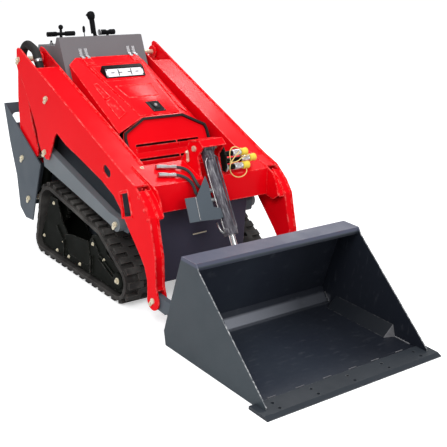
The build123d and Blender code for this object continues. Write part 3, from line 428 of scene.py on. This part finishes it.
# Nodes whose look differs from the plain finish of their slot.
OWN_FINISH = {"bucket_shell": "bucket_paint", "coupler_block": "black_paint",
              "hood_hinges": "red_paint", "hinge_leaves": "bright_steel",
              "cutting_edge": "edge_paint", "tilt_barrel": "barrel_paint",
              "front_guard": "guard_shaded_slate",
              "control_links": "link_paint"}
for row in frame["record"]["subparts"]:
    node = NODES[row["node"]]
    for place in node.material_slots:
        place.material = FINISHES[OWN_FINISH.get(row["node"], row["material_slot"])]


# ------------------------------------------------------------------ tools for new pieces
CRISP = math.radians(35)                                # edges over this angle stay crisp
BEVELLED = 0.5                                          # and over this one, in radians, get a bevel
WELD_STEP = 0.006


def mm(x, y, z):
    return Vector((x, y, z)) * 0.001


def facing(place, normal, along=(1, 0, 0)):
    """A frame at a place whose z is the normal and whose x runs along the given way."""
    z = Vector(normal).normalized()
    x = Vector(along)
    if abs(x.normalized().dot(z)) > 0.99:
        x = Vector((0, 0, 1))
    x = (x - z * x.dot(z)).normalized()
    return Matrix.Translation(place) @ Matrix((x, z.cross(x), z)).transposed().to_4x4()


def rod(shape, low, high, r, r_end=None, sides=24):
    """A round or, with few sides, a many-sided bar between two places."""
    axis = high - low
    middle = facing((low + high) / 2, axis)
    bmesh.ops.create_cone(shape, cap_ends=True, segments=sides, radius1=r,
                          radius2=r if r_end is None else r_end, depth=axis.length, matrix=middle)


def block(shape, place, size):
    """A box round the middle of the frame that it is given."""
    made = bmesh.ops.create_cube(shape, size=1.0)["verts"]
    bmesh.ops.scale(shape, vec=size, verts=made)
    bmesh.ops.transform(shape, matrix=place, verts=made)


def slab(shape, corners, lift):
    """A flat plate from its corners, thickened along lift; gives back its top face."""
    face = shape.faces.new([shape.verts.new(c) for c in corners])
    made = bmesh.ops.extrude_face_region(shape, geom=[face])["geom"]
    top = [f for f in made if isinstance(f, bmesh.types.BMFace)][0]
    bmesh.ops.translate(shape, vec=lift, verts=top.verts)
    return top


def sink(shape, face, rim, drop):
    """Insets a face by its rim and pushes the middle in."""
    bmesh.ops.inset_region(shape, faces=[face], thickness=rim, use_even_offset=True)
    bmesh.ops.translate(shape, vec=drop, verts=face.verts)


def hex_bolt(shape, place, axis, r):
    """Hexagon head on its washer, with the end of the thread showing."""
    axis = Vector(axis).normalized()
    rod(shape, place, place + axis * r * 0.22, r * 1.45, sides=20)
    rod(shape, place + axis * r * 0.22, place + axis * r * 0.95, r, r * 0.96, sides=6)
    rod(shape, place + axis * r * 0.95, place + axis * r * 1.2, r * 0.55, r * 0.45, sides=12)


def tube(shape, points, r):
    """A round tube along one smooth line, from its control points."""
    line = bpy.data.curves.new("line", "CURVE")
    line.dimensions, line.bevel_depth, line.bevel_resolution = "3D", r, 4
    line.resolution_u, line.use_fill_caps = 8, True
    spline = line.splines.new("NURBS")
    spline.points.add(len(points) - 1)
    for point, place in zip(spline.points, points):
        point.co = (*place, 1)
    spline.order_u, spline.use_endpoint_u = 3, True
    holder = bpy.data.objects.new("line", line)
    shape.from_mesh(bpy.data.meshes.new_from_object(holder))
    bpy.data.objects.remove(holder)


def weld(shape, start, end, r):
    """A welded seam: overlapping drops of metal in a row."""
    count = max(2, int((end - start).length / WELD_STEP))
    for i in range(count):
        place = start.lerp(end, (i + 0.5) / count)
        size = r * (1.0 + 0.18 * math.sin(i * 2.3))
        bmesh.ops.create_icosphere(shape, subdivisions=1, radius=size,
                                   matrix=Matrix.Translation(place))


def set_on(name, shape, body, slot, finish=None, bevel=0.0, flat=False):
    """Makes one piece of the gathered shape, gives it its finish and sets it on a body."""
    if bevel:
        sharp = [e for e in shape.edges if e.is_manifold and e.calc_face_angle(0.0) > BEVELLED]
        bmesh.ops.bevel(shape, geom=sharp, offset=bevel, offset_type="OFFSET", segments=2,
                        profile=0.5, affect="EDGES", material=-1, clamp_overlap=True)
    bmesh.ops.recalc_face_normals(shape, faces=shape.faces)
    mesh = bpy.data.meshes.new(name)
    shape.to_mesh(mesh)
    shape.free()
    if not flat:
        for face in mesh.polygons:
            face.use_smooth = True
        mesh.set_sharp_from_angle(angle=CRISP)
    piece = bpy.data.objects.new(name, mesh)
    bpy.context.scene.collection.objects.link(piece)
    mesh.materials.append(FINISHES[finish or slot])
    if body:
        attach(piece, body)
    return piece


# ------------------------------------------------------------------ hood
HOOD_Y, HOOD_Z, HOOD_RISE = 366.5, 925.3, 0.38217       # front edge of the top, and its slope
UP_HOOD = Vector((0, -0.357, 0.934))                    # straight out of the top
LAMP_LOOK = Vector((0, -0.81, 0.586))                   # straight out of the lamp's glass
LAMP_HALF = 138


def on_hood(x, y, up=0.0):
    """A place on the hood's flat top, in millimetres above it."""
    return mm(x, y, HOOD_Z + HOOD_RISE * (y - HOOD_Y) + up)


def on_hood_all(corners, up):
    return [on_hood(x, y, up) for x, y in corners]


def make_hood_panels():
    """Raised and pressed fields of the hood's top and sides."""
    shape = bmesh.new()                         # raised middle with its pressed field
    slab(shape, on_hood_all(((-184, 895), (184, 895), (140, 378), (-140, 378)), 0),
         UP_HOOD * 0.004)
    top = slab(shape, on_hood_all(((-127, 664), (127, 664), (106, 548), (-106, 548)), 2.5),
               UP_HOOD * 0.005)
    sink(shape, top, 0.008, UP_HOOD * -0.0046)
    top = slab(shape, on_hood_all(((-162, 872), (162, 872), (150, 716), (-150, 716)), 2.5),
               UP_HOOD * 0.002)
    sink(shape, top, 0.009, UP_HOOD * -0.0018)
    set_on("hood_panels", shape, "hood", "red_paint", bevel=0.0012)

    shape = bmesh.new()                         # pressed fields on the sloping sides
    for side in (-1, 1):
        normal = Vector((side * 0.42, -0.37, 0.83)).normalized()
        for corners in (((232.5, 740.4, 1042.6), (207, 730, 1051.5), (197, 600, 998),
                         (231.7, 604.9, 982.6)),
                        ((236, 590, 972.5), (190, 588.8, 997), (184.5, 448, 937),
                         (237, 441.7, 907.3))):
            places = [mm(side * x, y, z) for x, y, z in corners]
            top = slab(shape, places[::side], normal * 0.0055)
            sink(shape, top, 0.007, normal * -0.0032)
    set_on("hood_side_fields", shape, "hood", "red_paint", bevel=0.0012)


def make_lamp():
    """Work lamp: ribbed black housing and a glazed front with its dark dividers."""
    look = LAMP_LOOK
    section = ((819, 1), (749, 1), (741, 8), (776, 44), (803, 46))      # back, and up
    shape = bmesh.new()
    slab(shape, [on_hood(-LAMP_HALF, y, up) for y, up in section], mm(2 * LAMP_HALF, 0, 0))
    bmesh.ops.recalc_face_normals(shape, faces=shape.faces)
    front = max(shape.faces, key=lambda f: f.normal.dot(look))
    sink(shape, front, 0.006, -look * 0.004)
    for x in (-LAMP_HALF - 1, LAMP_HALF + 1):   # clamp screws at the ends
        rod(shape, on_hood(x - 2, 775, 26), on_hood(x + 2, 775, 26), 0.009, sides=8)
    for i in range(14):                         # cooling ribs behind
        block(shape, facing(on_hood(-117 + 18 * i, 812, 24), (0, 1, 0.38)), (0.004, 0.034, 0.012))
    housing = set_on("lamp_housing", shape, "hood", "black_plastic", bevel=0.0015)
    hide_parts("light_bar")

    shape = bmesh.new()
    low, high = on_hood(0, 745, 13), on_hood(0, 773, 41)
    place = facing((low + high) / 2 - look * 0.0025, look)
    bmesh.ops.create_grid(shape, x_segments=3, y_segments=2, size=0.5,
                          matrix=place @ Matrix.Diagonal((0.26, 0.049, 1, 1)))
    cells = list(shape.faces)
    bmesh.ops.inset_individual(shape, faces=cells, thickness=0.0012, depth=-0.0004)
    bmesh.ops.inset_individual(shape, faces=cells, thickness=0.005, depth=-0.0006)
    set_on("lamp_glass", shape, "hood", "bare_steel", "lamp_glass", flat=True)
    shape = bmesh.new()                         # dividers between the cells, and screws
    dividers = [(x, 0, 0.0045, 0.04) for x in (-0.044, 0.044)]
    dividers += [(x, 0, 0.022, 0.0035) for x in (-0.085, -0.03, 0.03, 0.085)]
    dividers += [(x, y, 0.007, 0.007) for x in (-0.125, 0.125) for y in (-0.019, 0.019)]
    for x, y, wide, high in dividers:
        block(shape, place @ Matrix.Translation((x, y, 0.0018)), (wide, high, 0.002))
    set_on("lamp_rims", shape, "hood", "black_plastic")


def make_latch():
    """Black latch plate with its lock and four screws."""
    shape = bmesh.new()
    top = slab(shape, on_hood_all(((-30, 494), (56, 494), (56, 400), (-30, 400)), 2.5),
               UP_HOOD * 0.005)
    sink(shape, top, 0.005, UP_HOOD * -0.002)
    slab(shape, on_hood_all(((-8, 484), (40, 484), (34, 424), (-2, 424)), 5), UP_HOOD * 0.003)
    set_on("latch_plate", shape, "hood", "black_plastic", bevel=0.0012)
    shape = bmesh.new()
    rod(shape, on_hood(16, 452, 4), on_hood(16, 452, 14), 0.011, 0.010)
    block(shape, facing(on_hood(16, 452, 15), UP_HOOD, (1, 0.5, 0)), (0.004, 0.017, 0.003))
    for x, y in ((-22, 487), (48, 487), (48, 407), (-22, 407)):
        rod(shape, on_hood(x, y, 6), on_hood(x, y, 9), 0.0035, sides=10)
    set_on("latch_lock", shape, "hood", "zinc", "bare_steel", bevel=0.0006)


make_hood_panels()
make_lamp()
make_latch()


# ------------------------------------------------------------------ control levers
DECK_Y, DECK_Z = 1080.5, 1214                           # front edge of the sloping deck
DECK_COS, DECK_SIN = 0.9933, 0.1157
BARS = ((-208, 74, 94, 15), (119, 69, 50, 17))          # across, back, half length, radius
BAR_UP = 66


def on_deck(x, back, up):
    """A place over the console's sloping deck: across, back from its edge and up from it."""
    return mm(x, DECK_Y + DECK_COS * back + DECK_SIN * up,
              DECK_Z - DECK_SIN * back + DECK_COS * up)


def spun(shape, foot, axis, rings, sides=28):
    """A turned shape: rings of (distance along the axis, radius) one over the other."""
    place = facing(foot, axis)
    loops = []
    for along, r in rings:
        ring = bmesh.ops.create_circle(shape, segments=sides, radius=r, cap_ends=False,
                                       matrix=place @ Matrix.Translation((0, 0, along)))["verts"]
        loops.append(ring)
    for low, high in zip(loops, loops[1:]):
        bmesh.ops.bridge_loops(shape, edges=list({e for v in low + high for e in v.link_edges
                                                  if all(w in low or w in high
                                                         for w in e.verts)}))
    for ring in (loops[0], loops[-1]):
        bmesh.ops.contextual_create(shape, geom=ring)


def make_levers():
    """Joystick, two hand bars on posts and a small lever."""
    shape = bmesh.new()                         # joystick: boot, stalk and bent grip
    foot, top = on_deck(43, 76, 0), on_deck(24, 82, 104)
    stalk = (top - foot).normalized()
    spun(shape, foot, stalk, [(0.004 * i, (0.034 - 0.0016 * i) * (1.0 if i % 2 else 0.86))
                              for i in range(13)])
    rod(shape, foot, top, 0.012, 0.011)
    tube(shape, (on_deck(27, 82, 60), on_deck(23, 84, 100), on_deck(20, 86, 136),
                 on_deck(16, 88, 156)), 0.0165)
    spun(shape, on_deck(20, 88, 142), (-0.2, 0.1, 0.95),
         ((0, 0.015), (0.008, 0.021), (0.022, 0.025), (0.038, 0.0245), (0.049, 0.018),
          (0.054, 0.006)))
    block(shape, facing(on_deck(-7, 86, 172), (-0.8, -0.1, 0.6)), (0.02, 0.018, 0.016))
    for x, back, half, r in BARS:
        ends = on_deck(x - half, back, BAR_UP), on_deck(x + half, back, BAR_UP)
        rod(shape, *ends, r * 0.0007, sides=20)
        for i in range(9):                      # ribbed rubber sleeves
            for near, far in (ends, ends[::-1]):
                low = near.lerp(far, 0.01 + 0.037 * i)
                rod(shape, low, low + (far - near).normalized() * 0.006, r * 0.001,
                    r * 0.00092, sides=20)
        rod(shape, on_deck(x, back, 0), on_deck(x, back, BAR_UP), 0.009)
    rod(shape, on_deck(-208, 74, BAR_UP), on_deck(-208, 74, 100), 0.008)
    bmesh.ops.create_uvsphere(shape, u_segments=20, v_segments=12, radius=0.015,
                              matrix=Matrix.Translation(on_deck(-208, 74, 106)))
    rod(shape, on_deck(-58, 40, 0), on_deck(-61, 50, 74), 0.0028)
    spun(shape, on_deck(-61, 50, 70), (-0.05, 0.1, 1), ((0, 0.006), (0.01, 0.0085), (0.03, 0.0085),
                                                        (0.04, 0.004)))
    levers = set_on("hand_controls", shape, "chassis", "black_plastic")
    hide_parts("control_levers")

    shape = bmesh.new()                         # collars below the bars and a clip on one
    for x, back, _, _ in BARS:
        spun(shape, on_deck(x, back, 0), (0, 0.1, 1), ((0, 0.02), (0.006, 0.02), (0.01, 0.013),
                                                       (0.02, 0.012)))
    rod(shape, on_deck(58, 69, BAR_UP), on_deck(65, 69, BAR_UP), 0.0185)
    set_on("lever_collars", shape, "chassis", "bare_steel", bevel=0.0006)


def make_deck_fittings():
    """Gauges, meter, key switch and stop button on the operator's side of the console."""
    dark, bright, red, glass = (bmesh.new() for _ in range(4))
    normal = (0, DECK_SIN, DECK_COS)
    for x, back, r in ((-120, 130, 22), (-175, 130, 22)):           # gauges
        rod(dark, on_deck(x, back, 0), on_deck(x, back, 5), r * 0.001)
        rod(bright, on_deck(x, back, 4), on_deck(x, back, 7), r * 0.00108)
        rod(glass, on_deck(x, back, 6.5), on_deck(x, back, 7.6), r * 0.00092)
    block(dark, facing(on_deck(185, 120, 6), normal), (0.07, 0.055, 0.012))
    block(glass, facing(on_deck(185, 124, 12), normal), (0.05, 0.024, 0.002))
    rod(bright, on_deck(-235, 150, 0), on_deck(-235, 150, 10), 0.011)
    rod(dark, on_deck(-235, 150, 10), on_deck(-235, 150, 24), 0.007, 0.006)
    rod(dark, on_deck(240, 140, 0), on_deck(240, 140, 8), 0.024)
    rod(red, on_deck(240, 140, 8), on_deck(240, 140, 26), 0.012)
    rod(red, on_deck(240, 140, 22), on_deck(240, 140, 32), 0.02, 0.017)
    set_on("deck_switches", dark, "chassis", "black_plastic", bevel=0.001)
    set_on("deck_bezels", bright, "chassis", "bare_steel", bevel=0.0006)
    set_on("deck_stop_button", red, "chassis", "red_paint", bevel=0.0015)
    set_on("deck_glasses", glass, "chassis", "black_plastic", "lamp_glass", bevel=0.0003)


make_levers()
make_deck_fittings()


# ------------------------------------------------------------------ fasteners
GUARD_FACE, LINK_FACE, ARM_FACE = 496.5, 483.5, 499.5   # outer faces, out from the middle
FRAME_FACE, ELBOW_FACE, CHEEK_FACE = 475.2, 490, 80.2
IDLER = 26.5, 125                                       # the idler's axle, back and up


def make_fasteners():
    """Bolts on the chassis and the arms, the elbows' plugs and the pin's keeper."""
    chassis, arms, plugs = bmesh.new(), bmesh.new(), bmesh.new()
    for side in (-1, 1):
        out = (side, 0, 0)
        for y, z, r in ((1115.5, 537, 10), (1031.5, 301, 10)):      # link and cylinder pins
            hex_bolt(chassis, mm(side * GUARD_FACE, y, z), out, r * 0.001)
        hex_bolt(chassis, mm(side * LINK_FACE, 74.5, 436), out, 0.011)
        for y, z in ((860.6, 112.2), (699.8, 70.1), (563.4, 76.6), (437.1, 74.6), (747.8, 352),
                     (300.6, 245.4), (628, 150), (180, 190)):       # track frames
            hex_bolt(chassis, mm(side * FRAME_FACE, y, z), out, 0.0078)
        spun(chassis, mm(side * FRAME_FACE, *IDLER), out,
             ((0, 0.03), (0.004, 0.03), (0.006, 0.024), (0.01, 0.023), (0.012, 0.014)))
        hex_bolt(chassis, mm(side * 486, *IDLER), out, 0.012)
        for y, z, r in ((1162.5, 1130, 9), (821.5, 966, 9), (833.5, 645, 9)):
            hex_bolt(arms, mm(side * ARM_FACE, y, z), out, r * 0.001)
        hex_bolt(arms, mm(side * 357, 21, 751.5), (0, -0.31, 0.95), 0.008)
        for y, z in ((-155.9, 659.5), (-212.7, 605.7), (-241.1, 564.5)):
            hex_bolt(plugs, mm(side * ELBOW_FACE, y, z), out, 0.0075)
    keeper = [(-6, 826), (6, 818), (-4, 762), (-16, 757), (-26, 766), (-16, 815)]
    slab(arms, [mm(-CHEEK_FACE, y, z) for y, z in keeper], mm(-4, 0, 0))
    hex_bolt(arms, mm(-CHEEK_FACE - 4, -15, 770), (-1, 0, 0), 0.007)
    spun(arms, mm(-CHEEK_FACE - 4, -5, 812), (-1, 0, 0),
         ((0, 0.009), (0.004, 0.009), (0.006, 0.007), (0.01, 0.005)))
    set_on("chassis_bolts", chassis, "chassis", "zinc", bevel=0.0004)
    set_on("arm_bolts", arms, "loader_arms", "zinc", bevel=0.0004)
    set_on("elbow_plugs", plugs, "loader_arms", "red_paint", bevel=0.0005)


def make_track_frame_plates():
    """Bolted cover plate, ribs and the tensioner's yoke on each track frame."""
    shape = bmesh.new()
    for side in (-1, 1):
        def outline(corners):
            return [mm(side * 475, y, z) for y, z in corners[::side]]

        out = mm(side, 0, 0)
        top = slab(shape, outline(((537, 226), (345, 248), (322, 122), (355, 98), (548, 98),
                                   (600, 150), (600, 205))), out * 6)
        sink(shape, top, 0.012, out * -2)
        for corners in (((700, 232), (690, 226), (612, 148), (616, 140), (628, 146), (704, 222)),
                        ((232, 214), (226, 204), (70, 140), (66, 148)),
                        ((232, 186), (228, 176), (72, 112), (68, 120)),
                        ((300, 282), (298, 274), (236, 216), (230, 222))):
            slab(shape, outline(corners), out * 9)
        spun(shape, mm(side * FRAME_FACE, *IDLER), out,
             ((0, 0.047), (0.007, 0.047), (0.01, 0.042), (0.011, 0.03)))
    set_on("track_frame_plates", shape, "chassis", "black_paint", bevel=0.0015)


make_fasteners()
make_track_frame_plates()


# ------------------------------------------------------------------ hydraulics on the arms
COUPLER_FACE = 86                                       # outer face of the couplers' block
COUPLER_LINES = ((-99.5, 804, 212), (-89.5, 760, 286), (-133.5, 738, 205))     # y, z, cap's foot


def make_couplers():
    """Turned rings and nuts of the quick couplers, and the rims and straps of their caps."""
    rings, caps, straps = bmesh.new(), bmesh.new(), bmesh.new()
    for y, z, foot in COUPLER_LINES:
        place = mm(foot, y, z)
        spun(rings, mm(foot - 58, y, z), (1, 0, 0),
             ((0, 0.0165), (0.004, 0.0185), (0.012, 0.0185), (0.014, 0.0165), (0.018, 0.0165),
              (0.02, 0.019), (0.036, 0.019), (0.038, 0.0165), (0.05, 0.0165), (0.054, 0.0185)))
        spun(rings, mm(COUPLER_FACE, y, z), (1, 0, 0),
             ((0, 0.021), (0.01, 0.021), (0.012, 0.017)), 6)
        for along in (0.004, 0.036):            # moulded rims round the caps
            spun(caps, place + mm(1000 * along, 0, 0), (1, 0, 0),
                 ((0, 0.0201), (0.0015, 0.0222), (0.0045, 0.0222), (0.006, 0.0201)))
    for run in (
        ((206, -112, 826), (175, -150, 832), (130, -160, 862), (94, -158, 855), (86, -160, 814),
         (104, -160, 776)),
        ((226, -150, 720), (220, -166, 712), (196, -170, 688), (154, -170, 683),
         (113, -170, 700), (88, -168, 737), (96, -166, 773), (128, -160, 806), (172, -140, 822)),
        ((284, -100, 783), (243, -130, 790), (186, -152, 791), (139, -164, 770),
         (104, -160, 774)),
    ):
        tube(straps, [mm(*p) for p in run], 0.0026)
    rod(straps, mm(104, -166, 774), mm(104, -154, 774), 0.006)
    set_on("coupler_rings", rings, "loader_arms", "bare_steel", "bright_steel")
    set_on("cap_rims", caps, "loader_arms", "yellow_plastic")
    set_on("cap_straps", straps, "loader_arms", "yellow_plastic", "strap_yellow")


BARREL_SIDE = -34                                       # where the hoses' elbows enter it


def make_hoses():
    """Two feed hoses from the beam over its edge to the cylinder, and their ferrules."""
    shape = bmesh.new()
    runs = (
        ((-176, -34, 748), (-147, -56, 748), (-126, -100, 731), (-136, -154, 706),
         (-124, -176, 672), (-92, -186, 652), (-46, -190, 642)),
        ((-221, -97.5, 727), (-196, -112, 726), (-172, -150, 711), (-150, -170, 676),
         (-150, -192, 632), (-104, -214, 606), (-46, -218, 597)),
    )
    for run in runs:
        tube(shape, [mm(*p) for p in run], 0.0088)
    hoses = set_on("feed_hoses", shape, None, "seal_rubber", "hose_rubber")
    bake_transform(hoses)
    shape = bmesh.new()
    for run in runs:
        end, before = mm(*run[-1]), mm(*run[-2])
        way = (before - end).normalized()
        rod(shape, end, end + way * 0.03, 0.0125)
        rod(shape, mm(BARREL_SIDE, *run[-1][1:]), end, 0.011, sides=6)
        hex_bolt(shape, end + mm(8, 0, 0), (-1, 0, 0), 0.009)
    set_on("hose_ferrules", shape, "tilt_barrel", "bare_steel", bevel=0.0006)


BARREL_EYE = mm(0, -59.5, 846)
BARREL_DOWN = Vector((0, -0.53784, -0.84305))           # along the tilt cylinder
BARREL_FRONT = Vector((0, -0.84305, 0.53784))           # out of its upper side


def on_barrel(along, across, out):
    """A place by the tilt cylinder: along it from its eye, across and out from its axis."""
    return (BARREL_EYE + BARREL_DOWN * along * 0.001 + mm(across, 0, 0)
            + BARREL_FRONT * out * 0.001)


def make_pipes():
    """Pipes, clips, port blocks and the notched gland nut of the tilt cylinder."""
    shape = bmesh.new()
    tube(shape, [on_barrel(*p) for p in ((66, -30, 26), (80, -44, 20), (110, -44, 14),
                                         (200, -43, 10), (330, -43, 10), (440, -43, 10),
                                         (470, -42, 8), (480, -30, 4))], 0.0036)
    tube(shape, [on_barrel(*p) for p in ((420, -64, -6), (446, -70, 6), (474, -66, 14),
                                         (486, -48, 14), (488, -30, 8))], 0.0055)
    for along in (150, 300, 420):               # pipe clips
        rod(shape, on_barrel(along, -43, 10), on_barrel(along + 10, -43, 10), 0.0062)
    set_on("cylinder_pipes", shape, "tilt_barrel", "rod_chrome", "bare_steel")

    shape = bmesh.new()                         # port blocks and gland nut
    for along, across, out in ((62, -14, 30), (478, -18, 24)):
        block(shape, facing(on_barrel(along, across, out), BARREL_FRONT), (0.034, 0.026, 0.022))
    spun(shape, on_barrel(462, 0, 0), BARREL_DOWN,
         ((0, 0.0364), (0.002, 0.0392), (0.03, 0.0392), (0.034, 0.036)))
    for i in range(12):
        turn = math.radians(30 * i)
        block(shape, facing(on_barrel(478, 39.5 * math.cos(turn), 39.5 * math.sin(turn)),
                            BARREL_DOWN, (math.cos(turn), 0, math.sin(turn))),
              (0.004, 0.007, 0.02))
    tube(shape, [on_barrel(*p) for p in ((58, 8, 34), (66, 22, 42), (90, 24, 38), (200, 24, 37),
                                         (340, 24, 37), (446, 24, 37), (468, 24, 38),
                                         (476, 18, 30))], 0.0042)
    set_on("cylinder_ports", shape, "tilt_barrel", "cast_grey", "barrel_paint", bevel=0.001)


def make_clamp():
    """Hose clamp round the sleeve behind the right arm."""
    shape = bmesh.new()
    way = Vector((0, 60, 102)).normalized()
    spun(shape, mm(-430, 1028, 1134), way, ((0, 0.0252), (0.001, 0.0272), (0.017, 0.0272),
                                            (0.018, 0.0252)))
    block(shape, facing(mm(-430, 1009, 1153), way), (0.016, 0.014, 0.016))
    set_on("sleeve_clamp", shape, "loader_arms", "bare_steel", bevel=0.0008)


def make_guard_trim():
    """Pressed fold on the hose guard and the catch bar below it."""
    shape = bmesh.new()
    rod(shape, mm(-177.6, -225.2, 636), mm(-187.7, -292.6, 530), 0.0022, sides=10)
    set_on("guard_fold", shape, "tilt_barrel", "slate_paint", "bare_steel")
    shape = bmesh.new()
    rod(shape, mm(-77, -94, 364), mm(16, -94, 367), 0.0036, sides=12)
    for x in (-60, 0):
        rod(shape, mm(x, -86, 365), mm(x, -94, 365.5), 0.003, sides=8)
    set_on("catch_bar", shape, "chassis", "zinc")


make_guard_trim()
make_couplers()
make_hoses()
make_pipes()
make_clamp()


# ------------------------------------------------------------------ bucket
SIDE_FACE, FLOOR_TOP = 541.5, 8.5                       # inner faces of the bucket's plates
STIFFENER_FOOT = 62


def make_bucket_details():
    """Welds, corner stiffeners along the floor and their lighter front ends."""
    shape = bmesh.new()
    for side in (-1, 1):                        # seams where the sides meet floor and back
        weld(shape, mm(side * 540, -1190, 9.5), mm(side * 540, -610, 9.5), 0.0052)
        weld(shape, mm(side * 540, -592, 16), mm(side * 540, -548, 60), 0.0045)
    for x in (-440, -262, -84, 90, 250, 430):   # stitches behind the cutting edge
        weld(shape, mm(x - 28, -1214, FLOOR_TOP), mm(x + 28, -1214, FLOOR_TOP), 0.0035)
    set_on("bucket_seams", shape, "bucket", "slate_paint", "weld_metal")
    shape = bmesh.new()                         # corner stiffeners along the floor
    for side in (-1, 1):
        x, foot = side * SIDE_FACE, side * (SIDE_FACE - STIFFENER_FOOT)
        wedge = [mm(x, -1085, FLOOR_TOP), mm(foot, -1062, FLOOR_TOP), mm(foot, -640, FLOOR_TOP),
                 mm(x, -600, FLOOR_TOP)]
        low = [shape.verts.new(p) for p in wedge]
        high = [shape.verts.new(mm(x, y, z)) for y, z in ((-1062, 70), (-640, 70))]
        for ring in ((low[0], low[3], high[1], high[0]), (low[0], high[0], low[1]),
                     (low[3], low[2], high[1]), (low[1], high[0], high[1], low[2]),
                     (low[0], low[1], low[2], low[3])):
            shape.faces.new(ring)
    # The stiffeners take the darker copy of the slate, which is painted shade.
    set_on("corner_stiffeners", shape, "bucket", "slate_paint", "bucket_shaded_slate", bevel=0.0015)
    shape = bmesh.new()                         # front ends, in a lighter metal finish
    for side in (-1, 1):
        x = side * SIDE_FACE
        slab(shape, [mm(x, -1086, FLOOR_TOP), mm(x - side * 63, -1063, FLOOR_TOP),
                     mm(x - side * 0.5, -1063.6, 71)], mm(0, -1.5, 0))
    set_on("stiffener_ends", shape, "bucket", "slate_paint", "weld_metal", flat=True)


make_bucket_details()
